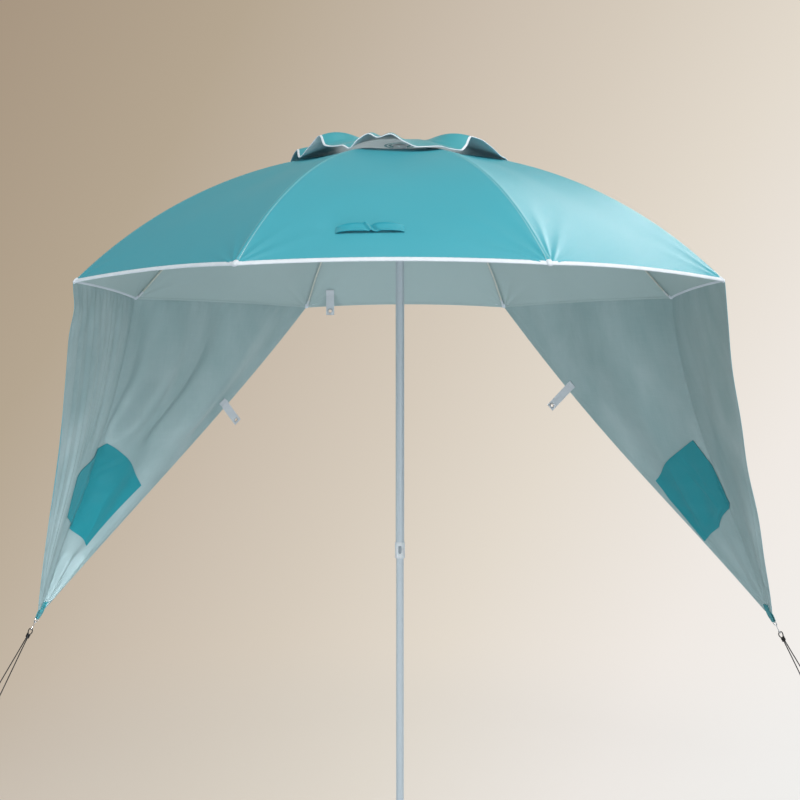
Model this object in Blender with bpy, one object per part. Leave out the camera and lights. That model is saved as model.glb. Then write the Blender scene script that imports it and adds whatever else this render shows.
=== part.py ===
"""Umbrella shelter: an eight-rib beach umbrella with two pegged side wings, on a two-part pole in the sand.

Metres, +Z up. The origin is on the pole's axis at sand level, and the open front faces -Y.
Angles in plan run from +X towards +Y, and ribs stand half a gore to each side of the front.
"""
from math import acos, asin, atan2, cos, pi, radians, sin, sqrt

import bmesh
import bpy
import numpy as np
from mathutils import Matrix, Vector

# Canopy and frame
RIB_COUNT = 8
RIM_RADIUS = 1.05           # pole axis to the hem at a rib
RIM_HEIGHT = 1.757          # hem at a rib above the sand
CANOPY_RISE = 0.4515        # hem to the crown of the arc
CLOTH = 0.0015              # thickness that stands for the sewn cloth
HEM_SCALLOP = 0.020         # how far the hem draws in between two ribs, along the cloth
GORE_SAG = 0.009            # how far a gore lies inside its straight chord
VENT_HOLE_RADIUS = 0.21     # opening in the main canopy
GORE_COLUMNS = 4
GORE_ROWS = 9

# Vent cap
CAP_RADIUS = 0.362
CAP_TOP = 2.236
CAP_BORE = 0.014            # radius of the hole for the crown stud
CAP_CRESTS_DEG = (-146, -99, -34, 20, 70, 120, 166)
CAP_CREST_WIDTHS_DEG = (9, 13, 18, 14, 15, 14, 14)
CAP_CREST_HEIGHTS = (0.040, 0.044, 0.036, 0.040, 0.034, 0.042, 0.036)
CAP_REST_LIFT = 0.0044      # cap hem above the canopy in a trough
CAP_CREST_SHARPNESS = 2.4   # power of a crest's fall to each side
CAP_PULL = 0.25             # how far a raised hem draws in, as a share of its lift
CAP_FALL = 2.4              # power of the cap's fall from its flat middle to the hem
CAP_BEAD = 0.0045           # piped edge of the cap
CAP_COLUMNS = 36

# Binding of the main hem
BINDING_WIDTH = 0.0115
BINDING_CLOTH = 0.0008

# Pole
UPPER_TUBE_RADIUS = 0.0140
TUBE_WALL = 0.0012
TUBE_PLAY = 0.0003          # between the two tubes
TUBE_OVERLAP = 0.450        # lower tube inside the upper one, as shown
TUBE_FOOT = 0.0085          # lower end of the lower tube above the sand
TUBE_SIDES = 20
COLLAR_BASE = 0.876
COLLAR_HEIGHT = 0.053
COLLAR_WALL = 0.0022         # from the upper tube to its outside
COLLAR_LIP = 0.0035
COLLAR_RIM = 0.0008         # how far its lower rim stands out
BUTTON_WIDTH = 0.0090
BUTTON_BOTTOM = 0.8915
BUTTON_TOP = 0.9165
BUTTON_PROUD = 0.0018
BUTTON_TRAVEL = 0.0012
RIVET_HEIGHT = 0.958        # small hole in the upper tube over the collar
RIVET_HOLE_RADIUS = 0.0016

# Sand spike
SPIKE_LENGTH = 0.330
SPIKE_SHOULDER_RADIUS = 0.0190
SPIKE_CORE_RADIUS = 0.0085
SPIKE_FIN_REACH = 0.0170
SPIKE_FIN_THICKNESS = 0.0036
SPIKE_PLUG_LENGTH = 0.060

# Crown and runner
PIVOT_RADIUS = 0.0300       # rib hinge from the pole axis
RUNNER_PIVOT_RADIUS = 0.0310
RUNNER_DROP = 0.280         # runner hinge under the rib hinge when the canopy is open
EYE_RADIUS = 0.0042
BLADE = 0.0024              # thickness of a flattened rod end
BLADE_LENGTH = 0.0140
SLOT_WIDTH = 0.0032
FLANGE_HALF = 0.0055
FLANGE_RADIUS = 0.0345
CROWN_WIRE_RADIUS = 0.0012
CROWN_NECK_RADIUS = 0.0220
CROWN_WALLS = (0.0032, 0.0055, 0.0095)   # lip, sleeve and shoulder from the tube's outside
RUNNER_WALLS = (0.0055, 0.0080, 0.0075, 0.0065, 0.0060, 0.0105, 0.0045)   # its grip, low to high
CROWN_SKIRT = 0.036         # sleeve of the crown below its hinges
STUD_RADIUS = 0.0050
STUD_HEIGHT = 0.0095
CAP_NUT_RADIUS = 0.0290
CAP_NUT_HEIGHT = 0.0125
RUNNER_GRIP_LENGTH = 0.047
CATCH_WIDTH = 0.0042
CATCH_HEIGHT = 0.0120
CATCH_PROUD = 0.0034
CATCH_TRAVEL = 0.0032

# Ribs and stretchers
ROD_RADIUS = 0.0030
ROD_STEPS = 9
TIP_WALL = 0.0010            # of the socket round the rod
TIP_LENGTH = 0.030
TIP_BORE = 0.016            # depth of the rod's socket in the tip
TIP_BACKSET = 0.0140        # rib tip from the edge of the cloth, clear of the binding
JOINT_REACH = 0.450         # stretcher joint from the pole axis
LUG_DROP = 0.0080           # stretcher pin under the rib's centreline
STRETCHER_RADIUS = 0.0026
PIN_RADIUS = 0.0015
CHEEK = 0.0016
CHEEK_RADIUS = 0.0040
FOLDED_TIP_RADIUS = 0.062   # rib tip from the pole axis when the umbrella is shut

# Wings
WING_REACH = 1.470          # wing point from the pole axis
WING_HEIGHT = 0.600         # wing point above the sand
WING_CLOTH = 0.0012
WING_HEM_GAP = 0.0023
CORNER_WIDTH = 0.042        # cut-off point of the wing
SAG_MIDDLE = 0.045
SAG_EDGE = 0.027
SAG_AT = 0.35               # where down the wing the sag is deepest
WING_COLUMNS = 6 * GORE_COLUMNS  # a whole number to each piece of the hem
WING_ROWS = 11
WING_FOLDS = {              # height of each set of folds, how many across the wing, and where it starts
    "left": ((0.010, 4.0, 0.6), (0.007, 1.7, 2.1)),
    "right": ((0.006, 3.2, 1.9), (0.007, 1.4, 0.5)),
}
POCKET_ALONG = (0.300, 0.605)   # from the wing point, along the free edge
POCKET_IN = (0.047, 0.290)      # from the free edge
POCKET_TO_CREASE = 0.012        # left clear beside the crease down the wing's middle
POCKET_CLOTH = 0.0016
POCKET_BELLY = 0.0050
POCKET_GRID = (9, 7)       # rows along the free edge, columns in from it

# Webbing, eyelets and lines
WEBBING = 0.0022
TAB_WIDTH = 0.032
EYELET_HOLE = 0.0060
EYELET_BARREL = 0.0070
EYELET_FLANGE = 0.0115
EYELET_WALL = 0.0009
CORNER_TAB_WIDTH = 0.022
CORNER_TAB_GRIP = 0.030     # webbing on the wing, inside its point
CORNER_TAB_FREE = 0.040     # wing's point to the ring's near wire
CORNER_TAB_NECK = 0.013     # width where it folds round the ring
RING_RADIUS = 0.0107        # centreline of the split ring
RING_WIRE = 0.0016
HOOK_LENGTH = 0.036
HOOK_WIRE = 0.0014
HOOK_EYE = 0.0050
ROPE_RADIUS = 0.0020
ROPE_SLOPE_DEG = 57.8       # of the guy line below level
ROPE_BEND = 0.0085          # tightest bend of its centreline
ROPE_STEP = 0.024           # between points of its centreline on a taut run
STRAND_GAP = 0.0008         # between the two strands at the knot
KNOT_FROM_HOOK = 0.026
SLIDER_AT = 0.415           # down the line from the wing's point
SLIDER_LENGTH = 0.040
SLIDER_WIDTH = 0.013
SLIDER_THICKNESS = 0.0060
SLIDER_HOLES = 0.028        # between the two rope holes
PEG_HOLD = 0.014            # height of the cord's loop on the peg
PEG_NECK = 0.016            # from the cord's loop to the bend at the top
PEG_CROOK = 0.011           # radius of the bend at the top
PEG_LENGTH = 0.230
PEG_RADIUS = 0.0030
PEG_LEAN_DEG = 20.0

CLEARANCE = 0.0003          # between two pieces that touch
EDGE_TAB_ALONG = {"left": 1.020, "right": 1.110}    # from the wing point, along the free edge
EDGE_TAB_FREE = {"left": 0.108, "right": 0.125}
EDGE_TAB_SEWN = (0.034, 0.018, 0.002)               # spots of its sewn part, in from the edge
TAB_DROOP = 0.10                                    # how far a loose end drops, by length to the power 1.5
BACK_TAB_X = -0.300
BACK_TAB_SEWN = (0.905, 0.925)                      # down the back gore, as shares of its length
BACK_TAB_LENGTH = 0.108
BACK_TAB_ROOM = 0.0021                              # between it and the cloth's true curve
STRAP_X = (-0.150, 0.030)
STRAP_FROM_HEM = 0.135
STRAP_WIDTH = 0.029
STRAP_THICKNESS = 0.0030
STRAP_WAVE = 0.0070         # how far its loose middle stands off the cloth
STRAP_CURL = 0.0030         # how far its upper edge stands off further

# What follows from the sizes above
LOWER_TUBE_RADIUS = UPPER_TUBE_RADIUS - TUBE_WALL - TUBE_PLAY
COLLAR_RADIUS = UPPER_TUBE_RADIUS + COLLAR_WALL
TIP_RADIUS = ROD_RADIUS + TIP_WALL
ARC_RADIUS = (RIM_RADIUS ** 2 + CANOPY_RISE ** 2) / (2 * CANOPY_RISE)
ARC_CENTRE_Z = RIM_HEIGHT + CANOPY_RISE - ARC_RADIUS
RIM_ANGLE = asin(RIM_RADIUS / ARC_RADIUS)
GORE_ANGLE = 2 * pi / RIB_COUNT
RIB_ANGLES = [GORE_ANGLE * (k + 0.5) for k in range(RIB_COUNT)]
VENT_ANGLE = asin(VENT_HOLE_RADIUS / ARC_RADIUS)
GORE_LENGTH = ARC_RADIUS * (RIM_ANGLE - VENT_ANGLE)
ROW_SAG = (GORE_LENGTH / GORE_ROWS) ** 2 / (8 * ARC_RADIUS)
ROD_DEPTH = (CLOTH + TIP_RADIUS) / cos(pi / RIB_COUNT) + ROW_SAG + CLEARANCE
ROD_ARC = ARC_RADIUS - ROD_DEPTH
PIVOT_Z = ARC_CENTRE_Z + sqrt(ROD_ARC ** 2 - PIVOT_RADIUS ** 2)
RUNNER_PIVOT_Z = PIVOT_Z - RUNNER_DROP
WING_RIB = {"left": 3, "right": 0}      # the ribs at 157.5 and 22.5 degrees
FRONT_GORE = 5                          # from the rib at 247.5 degrees
BACK_GORE = 1
HOOK_EYE_AT = CORNER_TAB_FREE + 2 * RING_RADIUS + HOOK_LENGTH - HOOK_EYE
PEG_AT = (WING_HEIGHT - PEG_HOLD) / sin(radians(ROPE_SLOPE_DEG))


def clear_scene():
    for obj in list(bpy.data.objects):
        bpy.data.objects.remove(obj, do_unlink=True)


def make_material(name, colour, roughness, metallic=0.0):
    """A Principled material with one colour, given as an 8-bit sRGB triple."""
    linear = [((c / 255 + 0.055) / 1.055) ** 2.4 if c > 10 else c / 255 / 12.92 for c in colour]
    material = bpy.data.materials.new(name)
    material.use_nodes = True
    shader = material.node_tree.nodes["Principled BSDF"]
    shader.inputs["Base Color"].default_value = (*linear, 1.0)
    shader.inputs["Roughness"].default_value = roughness
    shader.inputs["Metallic"].default_value = metallic
    material.diffuse_color = (*linear, 1.0)
    return material


def add(name, data, material=None, parent=None, location=(0, 0, 0), rotation=(0, 0, 0)):
    obj = bpy.data.objects.new(name, data)
    bpy.context.collection.objects.link(obj)
    obj.location = location
    obj.rotation_euler = rotation
    if parent:
        obj.parent = parent
    if material:
        own = material.copy()
        own.name = name + "_" + material.name
        if obj.data.users > 1:
            obj.material_slots[0].link = "OBJECT"
            obj.material_slots[0].material = own
        else:
            obj.data.materials.clear()
            obj.data.materials.append(own)
    return obj


def hang(obj, axis):
    """Parent a piece to the empty on its joint's axis, and leave it where it is."""
    obj.parent = axis
    obj.matrix_parent_inverse = Matrix.Translation(axis.location).inverted()
    return obj


def hinge(name, location, turn=0.0, parent=None):
    """An empty on a joint's axis, turned about Z so that its X points away from the pole."""
    return add(name, None, None, parent, location, (0, 0, turn))


def finish_mesh(name, bm, smooth=True):
    bmesh.ops.remove_doubles(bm, verts=bm.verts, dist=1e-6)
    bmesh.ops.recalc_face_normals(bm, faces=bm.faces)
    mesh = bpy.data.meshes.new(name)
    bm.to_mesh(mesh)
    bm.free()
    if smooth:
        mesh.shade_smooth()
        mesh.set_sharp_from_angle(angle=radians(35))
    return mesh


def mesh_from(name, points, faces):
    bm = bmesh.new()
    verts = [bm.verts.new(p) for p in points]
    for face in faces:
        bm.faces.new([verts[i] for i in face])
    return finish_mesh(name, bm)


def sheet_mesh(name, top, under, wrap=False):
    """Closed cloth between two grids of points of the same shape (rows, columns, 3).

    Both faces are split along the same diagonals, so that they can't cross where the cloth is twisted."""
    rows, columns = top.shape[:2]
    count = rows * columns
    points = np.concatenate([top.reshape(-1, 3), under.reshape(-1, 3)])

    def at(i, j, side=0):
        return side * count + i * columns + j % columns

    last = columns if wrap else columns - 1
    faces = []
    for i in range(rows - 1):
        for j in range(last):
            a, b, c, d = at(i, j), at(i, j + 1), at(i + 1, j + 1), at(i + 1, j)
            for face in ((a, b, c), (a, c, d)):
                faces.append(face)
                faces.append(tuple(v + count for v in reversed(face)))
    for j in range(last):
        for i in (0, rows - 1):
            faces.append((at(i, j), at(i, j + 1), at(i, j + 1, 1), at(i, j, 1)))
    if not wrap:
        for i in range(rows - 1):
            for j in (0, columns - 1):
                faces.append((at(i, j), at(i + 1, j), at(i + 1, j, 1), at(i, j, 1)))
    return mesh_from(name, points, faces)


def loft_mesh(name, rings, closed=False):
    """A tube through rings of points (rings, points, 3), with flat ends unless it closes on itself."""
    count, around = rings.shape[:2]
    faces = []
    for i in range(count if closed else count - 1):
        for j in range(around):
            nxt = (i + 1) % count
            faces.append((i * around + j, i * around + (j + 1) % around,
                          nxt * around + (j + 1) % around, nxt * around + j))
    if not closed:
        faces.append(tuple(range(around)))
        faces.append(tuple(range((count - 1) * around, count * around)))
    return mesh_from(name, rings.reshape(-1, 3), faces)


def turned_mesh(name, profile, sides, ring=False):
    """A profile of (radius, height) turned about Z. It runs from axis to axis, or is a closed ring."""
    bm = bmesh.new()
    verts = [bm.verts.new((r, 0, z)) for r, z in profile]
    edges = [bm.edges.new(pair) for pair in zip(verts, verts[1:])]
    if ring:
        edges.append(bm.edges.new((verts[-1], verts[0])))
    bmesh.ops.spin(bm, geom=verts + edges, cent=(0, 0, 0), axis=(0, 0, 1), angle=2 * pi,
                   steps=sides, use_merge=True)
    return finish_mesh(name, bm)


def outline_mesh(name, outline, half):
    """An outline of (x, z) points extruded to half its thickness each side along Y."""
    bm = bmesh.new()
    face = bm.faces.new([bm.verts.new((x, -half, z)) for x, z in outline])
    grown = bmesh.ops.extrude_face_region(bm, geom=[face])["geom"]
    moved = [v for v in grown if isinstance(v, bmesh.types.BMVert)]
    bmesh.ops.translate(bm, verts=moved, vec=(0, 2 * half, 0))
    return finish_mesh(name, bm)


def bore_mesh(radius, low, high, sides=8):
    """A plain cylinder along Z, for use as a drill."""
    return turned_mesh("bore", [(0, low), (radius, low), (radius, high), (0, high)], sides)


def box_mesh(name, low, high):
    bm = bmesh.new()
    bmesh.ops.create_cube(bm, size=1)
    for v in bm.verts:
        v.co = [a if c < 0 else b for a, b, c in zip(low, high, v.co)]
    return finish_mesh(name, bm, smooth=False)


def joined_mesh(name, meshes):
    """Several separate closed meshes as one, for use as a cutter."""
    bm = bmesh.new()
    for mesh in meshes:
        bm.from_mesh(mesh)
    return finish_mesh(name, bm, smooth=False)


def curve_object(name, points, radius, resolution, material=None, parent=None, cyclic=False):
    """A round tube along a poly line, with 4 + 2 * resolution sides."""
    curve = bpy.data.curves.new(name, "CURVE")
    curve.dimensions = "3D"
    curve.bevel_depth = radius
    curve.bevel_resolution = resolution
    curve.use_fill_caps = not cyclic
    curve.twist_mode = "MINIMUM"
    spline = curve.splines.new("POLY")
    spline.points.add(len(points) - 1)
    for slot, p in zip(spline.points, points):
        slot.co = (*p, 1)
    spline.use_cyclic_u = cyclic
    return add(name, curve, material, parent)


def helper(name, mesh, parent=None, location=(0, 0, 0), rotation=(0, 0, 0)):
    """A cutter or a shape to be joined: it is a guide, and isn't part of the object."""
    obj = add(name, mesh, None, parent, location, rotation)
    obj.hide_render = True
    obj.display_type = "WIRE"
    return obj


def boolean(obj, other, operation="DIFFERENCE"):
    modifier = obj.modifiers.new(operation.lower() + "_" + other.name, "BOOLEAN")
    modifier.operation = operation
    modifier.object = other
    return obj


def baked(obj):
    """The mesh as its modifiers leave it; the object and its helpers are removed."""
    helpers = [m.object for m in obj.modifiers if m.type == "BOOLEAN"]
    bpy.context.view_layer.update()
    graph = bpy.context.evaluated_depsgraph_get()
    mesh = bpy.data.meshes.new_from_object(obj.evaluated_get(graph), depsgraph=graph)
    for used in [obj, *helpers]:
        bpy.data.objects.remove(used, do_unlink=True)
    return mesh


def unit(v):
    v = np.asarray(v, float)
    return v / np.linalg.norm(v)


def smooth_path(points, step):
    """A smooth curve through the points, with its own points no further apart than a step."""
    p = np.asarray(points, float)
    gaps = np.linalg.norm(np.diff(p, axis=0), axis=1)
    ways = np.diff(p, axis=0) / gaps[:, None]
    before, after = gaps[:-1, None], gaps[1:, None]
    slopes = (ways[:-1] * after + ways[1:] * before) / (before + after)
    slopes = np.concatenate([ways[:1], slopes, ways[-1:]])
    line = [p[0]]
    for a, b, m, n, gap in zip(p, p[1:], slopes, slopes[1:], gaps):
        pull = min(gap, 2 * step)
        for t in np.linspace(0, 1, max(1, round(gap / step)) + 1)[1:]:
            straight = a + (b - a) * t
            start, end = t * (1 - t) ** 2, t ** 2 * (1 - t)
            bend = (m * gap - (b - a)) * start - (n * gap - (b - a)) * end
            line.append(straight + bend * pull / gap)
    return np.array(line)


def arc(centre, radius, start, end, steps):
    """Points (x, z) on an arc, with angles in degrees from +X towards +Z."""
    return [(centre[0] + radius * cos(radians(a)), centre[1] + radius * sin(radians(a)))
            for a in np.linspace(start, end, steps)]


def canopy_surface(t, g):
    """Points on the cloth: t is 0 at the vent hole and 1 at the hem, g counts gores round from rib 0."""
    t, g = np.broadcast_arrays(np.asarray(t, float), np.asarray(g, float))
    gore = np.floor(g)
    w = g - gore
    bump = 4 * w * (1 - w)
    last = RIM_ANGLE - HEM_SCALLOP / ARC_RADIUS * bump
    beta = VENT_ANGLE + (last - VENT_ANGLE) * t
    r = ARC_RADIUS * np.sin(beta)
    a = GORE_ANGLE * (gore + 0.5)
    b = a + GORE_ANGLE
    middle = (a + b) / 2
    sag = GORE_SAG * bump * (0.35 + 0.65 * np.sin(pi * np.clip(t, 0, 1)))
    x = r * ((1 - w) * np.cos(a) + w * np.cos(b)) - sag * np.sin(beta) * np.cos(middle)
    y = r * ((1 - w) * np.sin(a) + w * np.sin(b)) - sag * np.sin(beta) * np.sin(middle)
    z = ARC_CENTRE_Z + ARC_RADIUS * np.cos(beta) - sag * np.cos(beta)
    return np.stack([x, y, z], axis=-1)


def grid_normals(points, wrap=False):
    """Unit normals of a grid of points, pointing to the side of rows crossed with columns."""
    down = np.gradient(points, axis=0)
    if wrap:
        across = np.roll(points, -1, axis=1) - np.roll(points, 1, axis=1)
    else:
        across = np.gradient(points, axis=1)
    normal = np.cross(down, across)
    return normal / np.linalg.norm(normal, axis=-1, keepdims=True)


def canopy_grid():
    t = np.linspace(0, 1, GORE_ROWS + 1)[:, None]
    g = np.arange(RIB_COUNT * GORE_COLUMNS)[None, :] / GORE_COLUMNS
    return canopy_surface(t, g)


def hem_frames():
    """The canopy's edge points, the way out along the cloth there, and the cloth's outer normal."""
    grid = canopy_grid()
    edge = grid[-1]
    out = edge - grid[-2]
    out /= np.linalg.norm(out, axis=1, keepdims=True)
    normal = grid_normals(grid, wrap=True)[-1]
    normal -= out * (normal * out).sum(axis=1, keepdims=True)
    return edge, out, normal / np.linalg.norm(normal, axis=1, keepdims=True)


def make_canopy(cloth):
    grid = canopy_grid()
    under = grid - CLOTH * grid_normals(grid, wrap=True)
    add("canopy", sheet_mesh("canopy", grid, under, wrap=True), cloth)


def make_hem_binding(tape):
    """A tape folded over the hem: a U in section, carried round the edge."""
    edge, out, normal = hem_frames()
    gap = CLEARANCE * 2
    high = gap + BINDING_CLOTH
    low = -CLOTH - gap
    section = [(-BINDING_WIDTH, high), (high, high), (high, low - BINDING_CLOTH),
               (-BINDING_WIDTH, low - BINDING_CLOTH), (-BINDING_WIDTH, low), (gap, low),
               (gap, gap), (-BINDING_WIDTH, gap)]
    rings = np.stack([edge + s * out + n * normal for s, n in section], axis=1)
    add("hem_binding", loft_mesh("hem_binding", rings, closed=True), tape)


def canopy_height(x, y):
    """Height of the cloth's flat chords over a point near the crown."""
    off_middle = (np.arctan2(y, x) + GORE_ANGLE / 2) % GORE_ANGLE - GORE_ANGLE / 2
    ridge = np.hypot(x, y) * np.cos(off_middle) / cos(GORE_ANGLE / 2)
    return ARC_CENTRE_Z + np.sqrt(ARC_RADIUS ** 2 - ridge ** 2)


def cap_lift(angle):
    """How far the vent cap's loose hem stands up at each angle: one rounded crest for each entry."""
    lift = np.zeros_like(angle)
    for crest, width, height in zip(CAP_CRESTS_DEG, CAP_CREST_WIDTHS_DEG, CAP_CREST_HEIGHTS):
        away = (np.degrees(angle) - crest + 180) % 360 - 180
        lift += height * np.exp(-(np.abs(away) / width) ** CAP_CREST_SHARPNESS)
    return lift


def make_vent_cap(cloth):
    share = np.array([0, 0.045, 0.3, 0.55, 0.76, 0.9, 0.97, 1.0])[:, None]
    angle = np.linspace(-pi, pi, CAP_COLUMNS, endpoint=False)[None, :]
    lift = cap_lift(angle)
    edge = CAP_RADIUS - CAP_PULL * lift
    r = CAP_BORE + (edge - CAP_BORE) * share
    hem = canopy_height(edge * np.cos(angle), edge * np.sin(angle)) + CAP_REST_LIFT + lift
    flat = CROWN_NECK_RADIUS + 0.003
    z = CAP_TOP - (CAP_TOP - hem) * (np.maximum(r - flat, 0) / (edge - flat)) ** CAP_FALL
    middle = np.stack([r * np.cos(angle), r * np.sin(angle), z], axis=-1)
    normal = grid_normals(middle, wrap=True)
    normal *= np.sign(normal[..., 2:])
    beads = np.where(share > 0.96, CAP_BEAD, CLOTH)[..., None]
    top = middle + normal * (beads - CLOTH) / 2
    add("vent_cap", sheet_mesh("vent_cap", top, top - normal * beads, wrap=True), cloth)


def tube_mesh(name, radius, wall, low, high):
    inner = radius - wall
    profile = [(inner, low), (radius, low), (radius, high), (inner, high)]
    return turned_mesh(name, profile, TUBE_SIDES, ring=True)


def make_lower_pole(metal, plastic):
    top = COLLAR_BASE + TUBE_OVERLAP
    add("lower_pole", tube_mesh("lower_pole", LOWER_TUBE_RADIUS, TUBE_WALL, TUBE_FOOT, top), metal)
    plug = LOWER_TUBE_RADIUS - TUBE_WALL - CLEARANCE * 1.3
    shoulder = SPIKE_SHOULDER_RADIUS
    core = SPIKE_CORE_RADIUS
    plug_top = TUBE_FOOT + SPIKE_PLUG_LENGTH
    profile = [(0, -SPIKE_LENGTH), (core * 0.35, -SPIKE_LENGTH + 0.014), (core, -SPIKE_LENGTH * 0.62),
               (core, -0.010), (shoulder - 0.002, -0.003), (shoulder, 0), (shoulder, 0.005),
               (shoulder - 0.003, TUBE_FOOT - CLEARANCE), (plug, TUBE_FOOT - CLEARANCE),
               (plug, plug_top - 0.003), (plug - 0.003, plug_top), (0, plug_top)]
    spike = add("sand_spike", turned_mesh("sand_spike", profile, 16), plastic)
    reach = SPIKE_FIN_REACH
    low = -SPIKE_LENGTH + 0.006
    taper = -SPIKE_LENGTH * 0.55
    fin = [(-reach, -0.006), (reach, -0.006), (reach, taper), (0.0025, low), (-0.0025, low), (-reach, taper)]
    for turn in (0, pi / 2):
        blade = helper("spike_fin", outline_mesh("spike_fin", fin, SPIKE_FIN_THICKNESS / 2),
                       rotation=(0, 0, turn))
        boolean(spike, blade, "UNION")


def make_upper_pole(metal, plastic, accent):
    tube_low = COLLAR_BASE + COLLAR_LIP + CLEARANCE
    mesh = tube_mesh("upper_pole", UPPER_TUBE_RADIUS, TUBE_WALL, tube_low, PIVOT_Z + 0.004)
    tube = add("upper_pole", mesh, metal)
    reach = UPPER_TUBE_RADIUS + 0.004
    rivet = bore_mesh(RIVET_HOLE_RADIUS, 0, reach)
    catch_low = RUNNER_PIVOT_Z - RUNNER_GRIP_LENGTH - CATCH_HEIGHT
    side = CATCH_WIDTH / 2 + CLEARANCE
    slot = box_mesh("catch_slot", (-side, 0, catch_low - 0.0015), (side, reach, catch_low + CATCH_HEIGHT))
    boolean(tube, helper("rivet_hole", rivet, location=(0, 0, RIVET_HEIGHT), rotation=(pi / 2, 0, 0)))
    boolean(tube, helper("catch_slot", slot))

    bore = UPPER_TUBE_RADIUS + CLEARANCE * 1.2
    lip_bore = LOWER_TUBE_RADIUS + CLEARANCE * 1.2
    top = COLLAR_BASE + COLLAR_HEIGHT
    radius = COLLAR_RADIUS
    rim = radius + COLLAR_RIM
    profile = [(lip_bore, COLLAR_BASE), (radius - 0.001, COLLAR_BASE), (rim, COLLAR_BASE + 0.001),
               (rim, COLLAR_BASE + 0.0040), (radius, COLLAR_BASE + 0.0055),
               (radius, top - 0.004), (radius - 0.0012, top), (bore, top),
               (bore, COLLAR_BASE + COLLAR_LIP), (lip_bore, COLLAR_BASE + COLLAR_LIP)]
    collar = add("pole_collar", turned_mesh("pole_collar", profile, TUBE_SIDES, ring=True), plastic)
    half = BUTTON_WIDTH / 2 + CLEARANCE
    tall = BUTTON_TOP - BUTTON_BOTTOM
    opening = arc((0, BUTTON_BOTTOM + half - CLEARANCE), half, 180, 360, 9)
    opening += [(half, BUTTON_TOP + CLEARANCE), (-half, BUTTON_TOP + CLEARANCE)]
    recess = outline_mesh("button_recess", opening, reach / 2)
    boolean(collar, helper("button_recess", recess, location=(0, -reach / 2 - 0.003, 0)))

    inner = UPPER_TUBE_RADIUS + BUTTON_TRAVEL + 2 * CLEARANCE
    outer = radius + BUTTON_PROUD
    shape = arc((0, BUTTON_BOTTOM + BUTTON_WIDTH / 2), BUTTON_WIDTH / 2, 180, 360, 9)
    shape += [(BUTTON_WIDTH / 2, BUTTON_TOP), (-BUTTON_WIDTH / 2, BUTTON_TOP)]
    button = add("collar_button", outline_mesh("collar_button", shape, (outer - inner) / 2), accent,
                 hinge("button_slide", (0, -outer, 0)), location=(0, (outer - inner) / 2, 0))
    dimple = [(0, -0.001), (0.0019, -0.001), (0.0012, 0.0012), (0, 0.0012)]
    dimple = turned_mesh("button_dimple", dimple, 10)
    boolean(button, helper("button_dimple", dimple, location=(0, -outer, BUTTON_BOTTOM + tall * 0.72),
                           rotation=(-pi / 2, 0, 0)))

    back = -CATCH_TRAVEL - 0.0028
    top = CATCH_HEIGHT - 0.0008
    catch = [(back, 0), (CATCH_PROUD - 0.0004, top), (back, top)]
    catch = [(UPPER_TUBE_RADIUS + x, z) for x, z in catch]
    add("runner_catch", outline_mesh("runner_catch", catch, CATCH_WIDTH / 2), metal,
        hinge("catch_slide", (0, 0, catch_low), pi / 2))


def slots(name, floor, height):
    """Eight radial notches, as one cutter, for the flattened ends of the rods."""
    boxes = []
    for angle in RIB_ANGLES:
        box = box_mesh("slot", (floor, -SLOT_WIDTH / 2, height - FLANGE_HALF - 0.001),
                       (FLANGE_RADIUS + 0.002, SLOT_WIDTH / 2, height + FLANGE_HALF + 0.001))
        box.transform(Matrix.Rotation(angle, 4, "Z"))
        boxes.append(box)
    return helper(name, joined_mesh(name, boxes))


def make_crown(plastic, metal, accent):
    bore = UPPER_TUBE_RADIUS + CLEARANCE * 1.2
    low = PIVOT_Z - CROWN_SKIRT
    ceiling = PIVOT_Z + 0.004 + CLEARANCE
    shelf = CAP_TOP - CLOTH - CLEARANCE
    groove = CROWN_WIRE_RADIUS + CLEARANCE * 2
    top = PIVOT_Z + FLANGE_HALF
    lip, sleeve, shoulder = (UPPER_TUBE_RADIUS + wall for wall in CROWN_WALLS)
    profile = [(0, ceiling), (bore, ceiling), (bore, low), (lip, low), (sleeve, low + 0.004),
               (sleeve, PIVOT_Z - FLANGE_HALF - 0.003), (shoulder, PIVOT_Z - FLANGE_HALF),
               (FLANGE_RADIUS, PIVOT_Z - FLANGE_HALF), (FLANGE_RADIUS, top),
               (PIVOT_RADIUS + groove, top), (PIVOT_RADIUS + groove, PIVOT_Z - groove),
               (PIVOT_RADIUS - groove, PIVOT_Z - groove), (PIVOT_RADIUS - groove, top),
               (CROWN_NECK_RADIUS, top + 0.002), (CROWN_NECK_RADIUS, shelf),
               (STUD_RADIUS, shelf), (STUD_RADIUS, shelf + STUD_HEIGHT), (0, shelf + STUD_HEIGHT)]
    crown = add("crown", turned_mesh("crown", profile, TUBE_SIDES), plastic)
    boolean(crown, slots("crown_slots", PIVOT_RADIUS - EYE_RADIUS - CLEARANCE, PIVOT_Z))

    ring = [(PIVOT_RADIUS * cos(a), PIVOT_RADIUS * sin(a), PIVOT_Z)
            for a in np.linspace(0, 2 * pi, 24, endpoint=False)]
    curve_object("crown_wire", ring, CROWN_WIRE_RADIUS, 1, metal, cyclic=True)

    base = CAP_TOP + CLEARANCE
    bore = STUD_RADIUS + CLEARANCE
    radius = CAP_NUT_RADIUS
    ceiling = shelf + STUD_HEIGHT + CLEARANCE
    profile = [(0, ceiling), (bore, ceiling), (bore, base), (radius, base), (radius, base + 0.0025),
               (radius * 0.86, base + 0.0062), (radius * 0.55, base + 0.0100),
               (radius * 0.25, base + CAP_NUT_HEIGHT), (0, base + CAP_NUT_HEIGHT)]
    add("cap_nut", turned_mesh("cap_nut", profile, 24), accent)


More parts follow.
